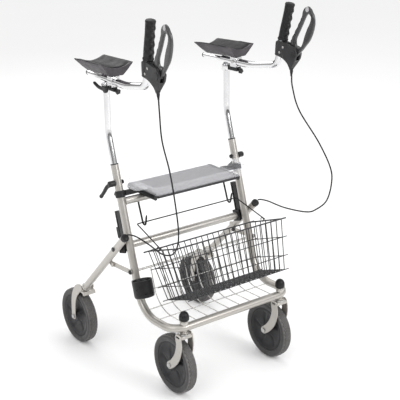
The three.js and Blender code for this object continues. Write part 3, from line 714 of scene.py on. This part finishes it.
def collar(tag, side):
    m = upright_matrix(625)
    ring = lathe([(13.4, -11), (15.4, -11), (16.2, -9.8), (16.2, 9.8), (15.4, 11), (13.4, 11), (13.4, -11)],
                 sides=40)
    piece(f"seat_collar_{tag}", ring.moved(m), "frame", BLACK, [f"collar_{tag}"], side, smooth=30)
    arm = block((-64.5, -9, -9), (-16, 9, 9)).add(block((-64.5, -11, -5), (-50, 11, 11)))
    arm.add(block((-9, 12, -9), (9, 19, 9)))
    piece(f"seat_arm_{tag}", arm.moved(m), "frame", BLACK, side=side, bevel=2)
    bolt = lathe([(0, 31), (5, 31), (6.2, 29.5), (6.2, 19), (0, 19)][::-1], (0, 0, 0), (0, 1, 0), 6)
    piece(f"collar_bolt_{tag}", bolt.moved(m), "frame", BLACK, side=side, bevel=0.6)


def guide_rail(tag, side):
    m = upright_matrix(466)
    top = (573 - 466) / math.cos(LEAN)
    shape = block((-8, 13.4, 0), (8, 34, top)).add(block((-8, 38, 2), (8, 44, top - 2)))
    shape.add(block((-3, 32, 4), (3, 40, top - 4)), block((-8, 30, top - 9), (8, 44, top)))
    shape.add(block((-8, 30, 0), (8, 44, 6)))
    for k in range(8):
        shape.add(block((-7, 31, 14 + k * 12), (7, 39, 16 + k * 12)))
    piece(f"slide_rail_{tag}", shape.moved(m), "frame", BLACK, [f"guide_rail_{tag}"], side, 1.2)


def hook(tag, side):
    x = 177
    line = smooth_line([(x, upright_y(600), 587), (x, upright_y(600) - 2, 578), (x, 20, 552), (x, 11, 527),
                        (x, 7, 519), (x, 0, 516), (x, -6, 519), (x, -9, 527), (x, -14, 553)], 40)
    radii = [3.2] * 39 + [2.8, 1.6]
    piece(f"bail_hook_{tag}", sweep(line, radii, 14), "frame", BLACK_WIRE, [f"basket_hook_{tag}"], side)


def caster_cap(tag, side):
    dome = [(0, 276), (15.2, 276), (16.2, 277.5), (16.5, 281), (16.5, 285)]
    dome += [(16.5 * math.cos(a), 285 + 20.5 * math.sin(a)) for a in [math.pi / 2 * k / 12 for k in range(1,
        12)]]
    dome.append((0, 305.5))
    shape = lathe(dome, (STEM.x, STEM.y, 0), sides=48)
    piece(f"acorn_cap_{tag}", shape, "frame", BLACK, [f"caster_cap_{tag}"], side)


# ---- The folding rear half ----

def carriage():
    tube = sweep([(-226.1, 24, 448), (226.1, 24, 448)], 12.5, 32)
    piece("cross_tube_low", tube, "carriage", PAINT, ["lower_cross_tube"])
    for tag, side in SIDES:
        back = (PIVOT.y - upright_y(PIVOT.z)) * math.cos(LEAN)
        up = (PIVOT.y - upright_y(PIVOT.z)) * math.sin(LEAN)
        m = upright_matrix(PIVOT.z)
        shape = Shape()
        for x0, x1 in ((-15, -8.5), (8.5, 15)):
            shape.add(block((x0, 15, up - 20), (x1, 51, up + 20)))
        shape.add(block((-15, 44.5, up - 20), (15, 51, up + 20)))
        piece(f"slide_block_{tag}", shape.moved(m), "carriage", BLACK,
              [f"carriage_block_{tag}"], side, 1.6)
        if tag == "R":
            step = (466 - PIVOT.z) / math.cos(LEAN) + 22
            catch = block((-5, 44.4, up + 12), (8, 48.4, step + 10)).add(block((-5, 44.4, step), (8, 53.9,
                step + 36)))
            catch.add(*[block((-3.5, 53.4, step + 9 + 5 * k),
                              (6.5, 54.9, step + 11 + 5 * k)) for k in range(4)])
            piece("fold_catch", catch.moved(m), "carriage", BLACK, side=side, bevel=1.4)
        pin = lathe([(0, 256), (11, 256), (11, 258.6), (6, 258.8), (6, 285), (7.5, 285.2), (8, 286.3),
                     (7.2, 287.6), (0, 288)], (0, PIVOT.y, PIVOT.z), (1, 0, 0), 32)
        piece(f"pivot_bolt_{tag}", pin, "carriage", BLACK, side=side)


def on_leg(distance):
    return PIVOT + Vector((0, math.cos(LEG_ANGLE), -math.sin(LEG_ANGLE))) * distance


def rear_leg(tag, side):
    body = f"leg_{tag}"
    shape = sweep([on_leg(-68), on_leg(302), on_leg(313)], 12.5, 32)
    shape.add(weld(on_leg(300), on_leg(1) - on_leg(0), 12.5, 3))
    piece(f"leg_tube_{tag}", shape, body, PAINT, [f"rear_leg_{tag}"], side)
    inner = 21
    x = REAR_WHEEL.x
    arm = [(250, 230, 13), (272, 216, 17), (294, 184, 15), (303, 145, 13), (REAR_WHEEL.y, WHEEL_RADIUS, 12)]
    fork = Shape()
    for near in (x - inner - 4, x + inner):
        fork.add(slab(band(arm), near, near + 4))
    crown = [(224, 207), (226, 220), (262, 223), (287, 213), (291, 203), (284, 201), (257, 213), (236, 211),
             (230, 205)]
    fork.add(slab(crown, x - inner - 2, x + inner + 2))
    piece(f"rear_fork_{tag}", fork, body, PAINT, side=side, bevel=1.4)
    tab = slab(band([(92, 388, 9), (72, 373, 9)]), 259.3, 264)
    piece(f"link_tab_{tag}", tab, body, PAINT, side=side, bevel=0.8)
    start = 68.4
    cap = [(0, start + 14), (5, start + 14), (11, start + 12.5), (13, start + 10), (13, start),
           (0, start)][::-1]
    axis = on_leg(-1) - on_leg(0)
    shape = lathe(cap, PIVOT, axis, 40)
    shape.add(lathe([(12.8, start + 4), (13.4, start + 4.4), (13.4, start + 5.6), (12.8, start + 6)], PIVOT,
                    axis, 40))
    piece(f"leg_plug_{tag}", shape, body, BLACK, [f"leg_cap_{tag}"], side)
    axle(f"rear_bolt_{tag}", body, f"rear_axle_{tag}", REAR_WHEEL, side)
    shoe(tag, side)
    fold_link(tag, side)


def axle(name, body, node, centre, side):
    reach = 25.4
    shape = Shape()
    for sign in (-1, 1):
        head = [(0, reach + 4), (6.5, reach + 4), (8.2, reach + 3), (8.2, reach + 0.9), (9, reach + 0.8),
                (9, reach), (0, reach)]
        shape.add(lathe(head[::-1], centre, (sign, 0, 0), 6 if sign > 0 else 24))
    shape.add(lathe([(0, -reach), (5.8, -reach), (5.8, reach), (0, reach)], centre, (1, 0, 0), 20))
    piece(name, shape, body, BOLT, [node], side, 0.4)


def shoe(tag, side):
    angle = math.radians(14)
    m = Matrix.Translation(REAR_WHEEL) @ Matrix.Rotation(angle, 4, "X")
    low = WHEEL_RADIUS + 4.5
    shape = block((-16, -18, low), (16, 18, low + 6))
    for k in range(5):
        shape.add(block((-16.4, -15 + 7 * k, low - 0.6), (16.4, -12 + 7 * k, low + 2)))
    piece(f"brake_block_{tag}", shape.moved(m), f"shoe_{tag}", BLACK, [f"brake_shoe_{tag}"], side, 0.8)


def fold_link(tag, side):
    start = (upright_y(ROD_Z), ROD_Z)
    end = (72, 373)
    bar = slab(band([(*start, 8), (*end, 8)]), 255, 258.8)
    piece(f"link_bar_{tag}", bar, f"link_{tag}", PAINT, [f"fold_link_{tag}"], side, 0.8)
    bolts = Shape()
    head = [(0, 263.8), (5, 263.8), (7.4, 262), (7.8, 259), (0, 258.9)][::-1]
    bolts.add(lathe(head, (0, *start), (1, 0, 0), 24))
    inner = [(0, 254.9), (6.6, 254.8), (7, 252.5), (5, 250.5), (0, 250)][::-1]
    bolts.add(lathe(inner, (0, *end), (1, 0, 0), 24))
    piece(f"link_bolts_{tag}", bolts, f"link_{tag}", BLACK, side=side)


# ---- Wheels ----

def wheel(prefix, tag, side, centre, body):
    around, half = 240, 19
    across = [(-15, 78), (-16.6, 80), (-18, 84), (-18.8, 88), (-18.9, 91.5), (-18.2, 94), (-16.4, 96.4),
              (-14, 98)]
    crown = [(-12 + 24 * k / 16, 99.95 - 1.6 * abs(-1 + 2 * k / 16) ** 2.6) for k in range(17)]
    section = across + crown + [(-x, r) for x, r in across[::-1]]
    verts = []
    for i in range(around):
        a = 2 * math.pi * i / around
        for x, r in section:
            # diamond blocks between crossing grooves on the crown
            u = i / 6
            v = (x + 12) / 6
            cut = 0.0
            if abs(x) < 12.5:
                for phase in (u + v, u - v):
                    if abs(phase - round(phase)) < 0.19:
                        cut = 2.1
            verts.append(centre + Vector((x, (r - cut) * math.sin(a), -(r - cut) * math.cos(a))))
    n = len(section)
    faces = [[i * n + k, ((i + 1) % around) * n + k, ((i + 1) % around) * n + (k + 1) % n,
              i * n + (k + 1) % n]
             for i in range(around) for k in range(n)]
    piece(f"{prefix}_wheel_tyre_{tag}", Shape(verts, faces), body, TYRE, [f"{prefix}_tyre_{tag}"], side,
          smooth=45)

    # a disc whose faces carry curved ribs between the boss and the rim
    sides = 180
    profile = [(6.4, 17), (15, 17), (17.5, 16), (19, 13), (23, 11.0), (30, 9.4), (38, 8.8), (46, 8.8),
               (54, 9.4),
               (61, 10.6), (66, 12.6), (70, 13.6), (75, 13.8), (77.6, 13.0)]
    verts = []
    rings = profile + [(r, -x) for r, x in profile[::-1]]
    for r, x in rings:
        for k in range(sides):
            a = 2 * math.pi * k / sides
            swirl = a * 5 - r * 0.045
            blade = max(0.0, math.cos(swirl)) ** 6
            reach = max(0.0, min(1.0, (r - 22) / 10)) * max(0.0, min(1.0, (66 - r) / 8))
            depth = x - math.copysign(2.6 * blade * reach, x)
            verts.append(centre + Vector((depth, r * math.sin(a), -r * math.cos(a))))
    m = len(rings)
    faces = [[i * sides + k, i * sides + (k + 1) % sides, ((i + 1) % m) * sides + (k + 1) % sides,
              ((i + 1) % m) * sides + k] for i in range(m) for k in range(sides)]
    piece(f"{prefix}_wheel_disc_{tag}", Shape(verts, faces), body, HUB, [f"{prefix}_hub_{tag}"], side,
          smooth=50)


def caster(tag, side):
    body = f"caster_{tag}"
    inner = 21
    x, y = STEM.x, STEM.y
    arm = [(y + 1, 216, 15), (-249, 186, 15), (-238, 148, 15), (-216, 118, 14),
           (CASTER_WHEEL.y, WHEEL_RADIUS, 13)]
    fork = Shape()
    for near in (x - inner - 4, x + inner):
        fork.add(slab(band(arm, 40), near, near + 4))
    crown = loft([[Vector((x + px, y + 2 + py, z)) for px, py in rounded_rectangle(25 - i, 18 - i, 9)]
                  for z, i in ((214, 2), (216, 0), (224, 0), (226, 2))])
    fork.add(crown)
    piece(f"caster_yoke_{tag}", fork, body, PAINT, [f"caster_fork_{tag}"], side, 1.4)
    race = lathe([(0, 225), (17, 225), (18, 227), (17, 229.5), (13, 231.2), (6.3, 231.4), (6.3, 272),
                  (0, 272)],
                 (x, y, 0), sides=40)
    piece(f"caster_race_{tag}", race, body, BOLT, side=side)
    axle(f"caster_bolt_{tag}", body, f"caster_axle_{tag}", CASTER_WHEEL, side)
    wheel("caster", tag, side, CASTER_WHEEL, f"caster_wheel_{tag}")


# ---- Posts and handles ----

def handle_matrix():
    """The left handle's own axes: -Y forward along the forearm, Z up from the handle tube."""
    return Matrix.Translation(Vector((TUBE_X, POST_Y, HANDLE_Z))) @ Matrix.Rotation(YAW, 4, "Z")


def handle_line():
    elbow = Vector((0, -ELBOW, 0))
    top = Vector((0, -GRIP_TOP[0], GRIP_TOP[1]))
    upward = (top - elbow).normalized()
    return elbow, top, upward


def height_lever(tag, side):
    z = 661
    y = upright_y(z)
    outside = TUBE_X + TUBE_RADIUS + 0.4
    hub = [(0, 0), (9, 0), (10, 1.2), (10, 18), (9, 21), (6, 22), (0, 22)]
    shape = lathe(hub, (outside, y, z), (1, 0, 0), 36)
    piece(f"clamp_hub_{tag}", shape, f"height_lever_{tag}", BLACK, [f"height_lever_{tag}"], side)
    line = smooth_line([(outside + 13, y + 2, z - 2), (outside + 15, y + 22, z - 16),
                        (outside + 14, y + 44, z - 40),
                        (outside + 13, y + 67, z - 63)], 24)
    radii = [7.6 - 2.0 * (k / 24) + (1.0 if k > 20 else 0) for k in range(25)]
    radii[-1] = 4.2
    piece(f"clamp_arm_{tag}", sweep(line, radii, 20), f"height_lever_{tag}", BLACK, side=side)
    # the clamp's nut on the inner face of the tube
    nut = lathe([(0, 0), (7, 0), (7.6, 1), (7.6, 6), (6.6, 7), (0, 7)], (TUBE_X - TUBE_RADIUS - 0.2, y, z),
                (-1, 0, 0), 6)
    piece(f"clamp_nut_{tag}", nut, "frame", BLACK, side=side, bevel=0.6)


def post(tag, side):
    bottom = UPRIGHT_TOP - 170 * math.cos(LEAN)
    elbow_z = (POST_Y - UPRIGHT_FOOT_Y) / SLOPE
    line = bent([(TUBE_X, upright_y(bottom), bottom), (TUBE_X, POST_Y, elbow_z), (TUBE_X, POST_Y, 975)],
                [120], 14)
    piece(f"post_tube_{tag}", sweep(line, 10.9, 36), f"post_{tag}", CHROME, [f"post_{tag}"], side)

    m = handle_matrix()
    bore = HANDLE_RADIUS + 1
    ring = [(bore, -62), (bore + 2, -62), (bore + 3, -61), (bore + 3, -35), (bore + 2, -34), (bore, -34),
            (bore, -62)]
    saddle = lathe([(r, -y) for r, y in ring], (0, 0, 0), (0, -1, 0), 40)
    saddle.add(block((-15, -62, 11), (15, -34, 16.8)), block((-15, -62, -16), (-11, -34, 11)))
    saddle.add(block((11, -62, -16), (15, -34, 11)), block((-11, -62, -16), (11, -34, -13.4)))
    piece(f"pad_clamp_{tag}", saddle.moved(m), f"post_{tag}", CHROME, [f"pad_bracket_{tag}"], side, 1.8)
    web = block((-7, -60, -32), (7, -10, -15))
    piece(f"clamp_web_{tag}", web.moved(m), f"post_{tag}", BLACK, side=side, bevel=2.5)
    collet = lathe([(11.2, -35.5), (14.4, -35.5), (15.5, -34), (15.5, -18), (14.6, -14.8), (11.2, -14.8),
                    (11.2, -35.5)],
                   sides=40, wave=lambda a, h: 0.35 * math.cos(20 * a))
    piece(f"post_collet_{tag}", collet.moved(m), f"post_{tag}", CHROME, side=side)
    # the thumb screw and its nut in front of the clamp
    screw = lathe([(0, 0), (3, 0), (3, 9), (7.4, 10), (8.2, 12), (8.2, 17), (7, 19), (0, 19)],
                  (0, -59, -25), (0, -1, -0.25),
                  30, wave=lambda a, h: 1.3 * math.cos(5 * a) if h > 10 else 0)
    piece(f"thumb_screw_{tag}", screw.moved(m), f"post_{tag}", BLACK, side=side)
    nut = lathe([(0, 14.4), (5.4, 14.6), (6, 15.4), (6, 18.4), (5, 19.4), (0, 19.4)], (0, -48, 2),
                (-1, 0, 0), 6)
    piece(f"clamp_bolt_{tag}", nut.moved(m), f"post_{tag}", BOLT, side=side, bevel=0.4)


def pad_lever(tag, side):
    m = handle_matrix()
    line = smooth_line([(21.7, -34, -26), (22, -12, -27), (22.5, 12, -25), (22.5, 40, -16)], 24)
    radii = [6.6 - 1.8 * (k / 24) for k in range(25)]
    radii[0] = 5.5
    radii[-1] = 3.2
    shape = sweep(line, radii, 18)
    shape.add(lathe([(0, 17.4), (9.8, 17.4), (10.8, 18.6), (10.8, 26), (9.2, 28), (0, 28.6)], (0, -34, -26),
                    (1, 0, 0), 28))
    piece(f"pad_cam_lever_{tag}", shape.moved(m), f"pad_lever_{tag}", BLACK, [f"pad_lever_{tag}"], side)


def handle(tag, side):
    body = f"handle_{tag}"
    m = handle_matrix()
    elbow, top, upward = handle_line()
    corner = elbow + upward * (20 / upward.z)
    line = bent([Vector((0, 20, 0)), Vector((0, -130, 0)), corner, top - upward * 6], [200, 32], 16)
    tube = sweep([Vector((0, 118, 0)), Vector((0, 26, 0)), Vector((0, 20.5, 0)), *line],
                 [7.5, 7.5, HANDLE_RADIUS - 1] + [HANDLE_RADIUS] * len(line), 40)
    rolled = m @ Matrix.Rotation(ROLL, 4, "Y")
    piece(f"handle_bar_{tag}", tube.moved(rolled), body, CHROME, [f"handle_tube_{tag}"], side)
    plug = lathe([(0, 0), (7.6, 0), (8.3, 0.8), (8.3, 3), (7, 4), (0, 4.4)], (0, 117.2, 0), (0, 1, 0), 32)
    piece(f"bar_end_plug_{tag}", plug.moved(m), body, BLACK, side=side)

    low = elbow + upward * (GRIP_LOW / upward.z)
    length = (top - low).length
    axis_turn = Vector((0, 0, 1)).rotation_difference(upward)
    front = axis_turn.inverted() @ Vector((0, -1, 0))
    front_angle = math.atan2(front.y, front.x)

    def waves(a, h):
        facing = max(0.0, math.cos(a - front_angle)) ** 1.3
        fade = min(1, max(0, (h - 10) / 12)) * min(1, max(0, (length - 10 - h) / 10))
        beads = 0.25 * math.cos(2 * math.pi * h / 4.5) * max(0.0, -math.cos(a - front_angle)) ** 0.5
        return (facing * 2.3 * math.cos(2 * math.pi * (h - 22) / 25) + beads) * fade

    heights = [6 + (length - 16) * k / 110 for k in range(111)]
    profile = [(12.6, 0), (16.4, 0), (17.3, 1), (17.3, 4.5)] + [(15.3 + 0.4 * math.sin(h / 18),
        h) for h in heights]
    profile += [(15.3, length - 8), (15.9, length - 6), (15.9, length - 4), (14.6, length - 1.4),
                (12, length - 0.3), (0, length)]
    grip = lathe(profile, low, upward, 64, wave=waves)
    piece(f"finger_grip_{tag}", grip.moved(rolled), body, GRIP, [f"grip_{tag}"], side, smooth=60)
    brake_housing(tag, side, rolled)
    brake_lever(tag, side, rolled)


def forward(points):
    return [(-ahead, z) for ahead, z in points]


def brake_housing(tag, side, m):
    body = f"handle_{tag}"
    outline = smooth_line([(p[0], p[1], 0) for p in forward([
        (248, 96), (246, 76), (247, 57), (256, 51), (270, 48.5), (284, 43), (298, 31), (306, 16), (309, 12),
        (312, 14),
        (321, 26), (330, 40), (337, 54), (339, 66), (337, 78), (330, 88), (314, 91), (298, 93.5), (284, 97),
        (272, 99),
        (258, 99)])], 105, closed=True)
    shell = [(p.x, p.y) for p in outline]

    def half(z):
        return 4 + 10 * min(1, max(0, (z - 8) / 40))

    def wall(signs, inner):
        layers = []
        for lift, shrink in ((inner, 0), (0.86, 0), (0.97, 0.012), (1.0, 0.03)):
            loop = []
            for y, z in shell:
                x = inner if lift == inner else half(z) * lift
                loop.append(Vector((signs * max(x, inner), y + (-292 - y) * shrink, z + (62 - z) * shrink)))
            layers.append(loop)
        return loft(layers)

    shape = wall(1, 6.5).add(wall(-1, 6.5))
    lower = [(y, z) for y, z in shell if z < 47]
    rear = [(y, z) for y, z in shell if y > -288]
    shape.add(slab(lower, -6.6, 6.6), slab(rear, -6.6, 6.6))
    elbow, top, upward = handle_line()
    low = elbow + upward * (52 / upward.z)
    length = 47 / upward.z
    bore = HANDLE_RADIUS + 0.6
    sleeve = [(bore, 0), (15.4, 0), (16.2, 1.2), (16.2, length - 1.2), (15.4, length), (bore, length),
              (bore, 0)]
    shape.add(lathe(sleeve, low, upward, 44))
    piece(f"lever_housing_{tag}", shape.moved(m), body, HOUSING, [f"brake_housing_{tag}"], side, 0.6)
    ahead, up = LEVER_PIVOT
    # the ribbed barrel round the lever's pivot
    barrel = lathe([(0, -16), (8.6, -16), (9.6, -15), (9.6, 15), (8.6, 16), (0, 16)], (0, -ahead - 2, up),
                   (1, 0, 0), 48,
                   wave=lambda a, h: 0.35 * math.cos(16 * a))
    piece(f"lever_barrel_{tag}", barrel.moved(m), body, BLACK, side=side)
    screws = Shape()
    for forward_at, z in ((281, 81), (266, 63)):
        for sign in (-1, 1):
            head = [(0, 13.6), (3.9, 13.6), (4.1, 14.8), (3.4, 15.3), (1.2, 15.0), (0, 14.6)]
            screws.add(lathe(head, (0, -forward_at, z), (sign, 0, 0), 24))
    piece(f"housing_screws_{tag}", screws.moved(m), body, BOLT, side=side)
    gland = lathe([(0, 18), (5.0, 17), (5.2, 8), (4.3, 2), (3.4, -3), (2.8, -8), (0, -8)][::-1],
                  (0, -311, 0), (0, 0, 1), 24)
    piece(f"cable_boot_{tag}", gland.moved(m), body, BLACK, side=side)


def brake_lever(tag, side, m):
    count = 132
    outer = smooth_line([(y, z, 0) for y, z in forward([
        (318, 58), (332, 58), (344, 69.5), (356, 82), (369, 97), (384, 115), (394.5, 138), (400.5, 163),
        (399.5, 182),
        (395, 195), (387, 204), (381, 212), (369, 218), (356, 212), (349.5, 200), (347.5, 186), (340, 171),
        (331, 153),
        (320, 134), (309, 114), (303, 101), (305, 85), (310, 70)])], count, closed=True)
    inner = smooth_line([(y, z, 0) for y, z in forward([
        (330, 91), (337, 87.5), (345, 88.5), (353, 96), (357, 108), (361, 123), (371, 147), (381, 163),
        (388, 176),
        (386, 187), (376, 195.5), (366, 191), (358, 178), (348, 157), (338, 137), (328, 118), (325.5, 104)])],
        count, closed=True)
    shift = min(range(count), key=lambda k: (inner[k] - outer[0]).length)
    inner = inner[shift:] + inner[:shift]
    # finger scallops along the rear arm
    for p in outer:
        if 108 < p.y < 200 and p.x > -345:
            p.x += 1.0 * math.cos(2 * math.pi * (p.y - 118) / 21)
    layers = []
    for x, shrink in ((-5.2, 0.22), (-4.6, 0.07), (-2.4, 0), (2.4, 0), (4.6, 0.07), (5.2, 0.22)):
        layers.append((x, [o.lerp(i, shrink) for o, i in zip(outer, inner)],
                       [i.lerp(o, shrink) for o, i in zip(outer, inner)]))
    loops = [[Vector((x, p.x, p.y)) for p in ring] for x, ring, _ in layers]
    loops += [[Vector((x, p.x, p.y)) for p in ring] for x, _, ring in layers[::-1]]
    total = len(loops)
    verts = [v for loop in loops for v in loop]
    faces = [[i * count + k, i * count + (k + 1) % count, ((i + 1) % total) * count + (k + 1) % count,
              ((i + 1) % total) * count + k] for i in range(total) for k in range(count)]
    shape = Shape(verts, faces)
    piece(f"lever_loop_{tag}", shape.moved(m), f"brake_lever_{tag}", LEVER,
          [f"brake_lever_{tag}"], side, smooth=60)
    # the rounded knob on the lever's tip, light grey partly from wear and partly as a painted highlight
    knob = lathe([(0, -6.6), (5.6, -6.4), (8.2, -4.6), (9, -1.6), (9, 1.6), (8.2, 4.6), (5.6, 6.4),
                  (0, 6.6)], (0, -369, 208),
                 (1, 0, 0), 36)
    piece(f"lever_knob_{tag}", knob.moved(m), f"brake_lever_{tag}", KNOB_HIGHLIGHT_AND_WEAR, side=side)


# ---- Forearm pads ----

def settle_foam(obj, cap):
    """Swells a closed mesh a little with cloth pressure, moving no point further than cap metres."""
    bpy.context.view_layer.objects.active = obj
    remesh = obj.modifiers.new("remesh", "REMESH")
    remesh.mode = "VOXEL"
    remesh.voxel_size = 0.0045
    apply_modifiers(obj)
    rest = [v.co.copy() for v in obj.data.vertices]
    cloth = obj.modifiers.new("cloth", "CLOTH")
    cloth.settings.use_pressure = True
    cloth.settings.uniform_pressure_force = 4
    cloth.settings.tension_stiffness = 30
    cloth.settings.compression_stiffness = 30
    cloth.settings.effector_weights.gravity = 0
    for number in range(1, 13):
        scene.frame_set(number)
    apply_modifiers(obj)
    scene.frame_set(1)
    for vertex, start in zip(obj.data.vertices, rest):
        step = vertex.co - start
        if step.length > cap:
            vertex.co = start + step * (cap / step.length)
    smooth = obj.modifiers.new("smooth", "SMOOTH")
    smooth.iterations = 4
    subsurf = obj.modifiers.new("subsurf", "SUBSURF")
    subsurf.levels = subsurf.render_levels = 1
    apply_modifiers(obj)
    obj.data.shade_smooth()


def apply_modifiers(obj):
    graph = bpy.context.evaluated_depsgraph_get()
    mesh = bpy.data.meshes.new_from_object(obj.evaluated_get(graph))
    obj.modifiers.clear()
    obj.data = mesh


def trough(x):
    """Height of the pad's hollowed top at x from its middle."""
    t = min(1.0, abs(x) / (PAD["half"] - 5))
    return PAD["floor"] + (PAD["high"] - PAD["floor"]) * t * t


def arm_pad(tag, side):
    m = handle_matrix() @ Matrix.Rotation(PAD_TILT, 4, "X")
    half, low, front, back = PAD["half"], PAD["low"], PAD["front"], PAD["back"]
    # the shell: a boat hull whose sides and rear slope in towards its foot
    loops = []
    for z, width, ahead, behind in ((low, 20, 8, 30), (low + 1.2, 22.5, 6.4, 28), (33, 36, 3.4, 17),
                                    (48, 48.5, 0.8, 6.5),
                                    (54, 53.5, 0, 2), (57, 54.6, 0, 0.8)):
        outline = [(-width, front + ahead), (width, front + ahead), (width, back - behind),
                   (-width, back - behind)]
        dense = []
        for (x0, y0), (x1, y1) in zip(outline, outline[1:] + outline[:1]):
            dense += [(x0 + (x1 - x0) * k / 16, y0 + (y1 - y0) * k / 16) for k in range(16)]
        loops.append([Vector((x, y, min(z, trough(x) - 2.6))) for x, y in dense])
    middle = Vector((0, (front + back) / 2, 0))
    inner = [p.lerp(Vector((middle.x, middle.y, p.z)), 0.55) for p in loops[-1]]
    loops.append([Vector((p.x, p.y, trough(p.x) - 4.4)) for p in inner])
    piece(f"pad_shell_{tag}", loft(loops).moved(m), f"post_{tag}", PAD_SHELL, [f"arm_pad_{tag}"], side, 1.6)

    # the cushion: a curved sheet of foam lying in the trough, with a rolled rim
    rows, columns, thick = 38, 26, 5.4
    top = []
    under = []
    for i in range(rows + 1):
        y = front + 1.5 + (back - front - 3) * i / rows
        for k in range(columns + 1):
            u = -1 + 2 * k / columns
            x = u * (half - 1.2)
            top.append(Vector((x, y, trough(x) - 0.8)))
            under.append(Vector((x, y, trough(x) - 0.8 - thick)))
    w = columns + 1
    base = len(top)
    faces = []
    for i in range(rows):
        for k in range(columns):
            a = i * w + k
            faces.append([a, a + 1, a + w + 1, a + w])
            faces.append([base + a, base + a + w, base + a + w + 1, base + a + 1])
    for k in range(columns):
        a = rows * w + k
        faces.append([k, base + k, base + k + 1, k + 1])
        faces.append([a, a + 1, base + a + 1, base + a])
    for i in range(rows):
        a = i * w
        faces.append([a, a + w, base + a + w, base + a])
        a = i * w + columns
        faces.append([a, base + a, base + a + w, a + w])
    cushion = piece(f"pad_cushion_{tag}", Shape(top + under, faces).moved(m), None, PAD_TOP, side=side)
    settle_foam(cushion, 0.0016)
    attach(cushion, f"post_{tag}")


# ---- Brake cables ----

CABLES = {
    "R": [(-258, -214.5, 988), (-257, -216, 950), (-256, -225, 865), (-254, -257, 781), (-253, -280, 694),
          (-252, -295, 604), (-252, -288, 550), (-254, -262, 516), (-257, -213, 503), (-262, -154, 515),
          (-268, -95, 524), (-272, -62, 522), (-272, -44, 516.6)],
    "L": [(258, -214.5, 988), (259, -219, 950), (262, -250, 880), (266, -340, 793), (268, -394, 722),
          (268, -402, 672),
          (268, -384, 610), (269, -340, 568), (270, -291, 543), (271, -184, 527), (272, -100, 526),
          (272, -62, 522),
          (272, -44, 516.6)],
}


def cable(tag):
    """One cable cut into four lengths along its route past the handle, the post, the frame, the carriage and the
    leg.
    """
    line = smooth_line(CABLES[tag], 240)
    cuts = [0, 50, 105, 200, 240]
    joined = [(f"handle_{tag}", f"post_{tag}"), (f"post_{tag}", "frame"), ("frame", "carriage"),
              ("carriage", f"leg_{tag}")]
    for k, (a, b) in enumerate(joined):
        part = line[cuts[k]:cuts[k + 1] + 1]
        obj = piece(f"cable_{tag}_{k + 1}", sweep(part, 2.4, 14), None, SHEATH,
                    [f"brake_cable_{tag}"] if k == 0 else ())
        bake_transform(obj)


# ---- Assembly ----

front_frame()
wire_rack()
seat()
tray()
basket()
cane_cup()
carriage()
for tag, side in SIDES:
    collar(tag, side)
    guide_rail(tag, side)
    hook(tag, side)
    caster_cap(tag, side)
    rear_leg(tag, side)
    wheel("rear", tag, side, REAR_WHEEL, f"rear_wheel_{tag}")
    caster(tag, side)
    height_lever(tag, side)
    post(tag, side)
    pad_lever(tag, side)
    handle(tag, side)
    arm_pad(tag, side)
    cable(tag)


# ---- Studio ----

def sky_gradient(tree):
    """A bright ceiling over darker studio walls, so that bright metal has something dark to mirror."""
    coordinates = tree.nodes.new("ShaderNodeTexCoord")
    separate = tree.nodes.new("ShaderNodeSeparateXYZ")
    ramp = tree.nodes.new("ShaderNodeValToRGB")
    tree.links.new(coordinates.outputs["Generated"], separate.inputs["Vector"])
    tree.links.new(separate.outputs["Z"], ramp.inputs["Fac"])
    tree.links.new(ramp.outputs["Color"], tree.nodes["Background"].inputs["Color"])
    elements = ramp.color_ramp.elements
    for position, level in ((0.0, 0.16), (0.12, 0.22), (0.34, 0.95), (1.0, 1.0)):
        element = elements.new(position) if position not in (0.0,
            1.0) else elements[0 if position == 0.0 else -1]
        element.color = (level, level, level, 1)
    tree.nodes["Background"].inputs["Strength"].default_value = 1.0


def studio():
    floor_mesh = bpy.data.meshes.new("studio_floor")
    size = 60
    floor_mesh.from_pydata([(-size, -size, 0), (size, -size, 0), (size, size, 0), (-size, size, 0)], [],
                           [[0, 1, 2, 3]])
    floor = bpy.data.objects.new("studio_floor", floor_mesh)
    scene.collection.objects.link(floor)
    scene.view_settings.view_transform = "Standard"
    pale = Nodes("pale_floor", roughness=0.9)
    pale.colour(pale.ramp(pale.noise(0.8, 2), [(0.3, (0.955, 0.955, 0.955)), (0.7, (0.965, 0.965, 0.965))]))
    floor_mesh.materials.append(pale.material)
    world = bpy.data.worlds.new("studio") if not scene.world else scene.world
    scene.world = world
    world.use_nodes = True
    sky_gradient(world.node_tree)
    lights = [("key", (1.2, -3.4, 2.6), 1.8, 62), ("fill", (-3.2, -1.4, 2.6), 2.2, 26),
              ("back", (0.5, 3.2, 3.2), 2.6, 40)]
    for name, place, width, power in lights:
        data = bpy.data.lights.new(name, "AREA")
        data.size = width
        data.energy = power
        light = bpy.data.objects.new(name, data)
        light.location = place
        aim = Vector((0, 0, 0.6)) - Vector(place)
        light.rotation_euler = aim.to_track_quat("-Z", "Y").to_euler()
        scene.collection.objects.link(light)


def camera():
    data = bpy.data.cameras.new("camera")
    data.sensor_width = 36
    data.lens = 86.18
    data.clip_end = 200
    obj = bpy.data.objects.new("camera", data)
    place = Vector((-1.7874, -2.4416, 1.6357))
    target = Vector((0.01848, -0.04277, 0.57033))
    turn = (target - place).to_track_quat("-Z", "Y").to_matrix().to_4x4()
    roll = Matrix.Rotation(math.radians(-0.39), 4, "Z")
    obj.matrix_world = Matrix.Translation(place) @ turn @ roll
    scene.collection.objects.link(obj)
    scene.camera = obj


studio()
camera()
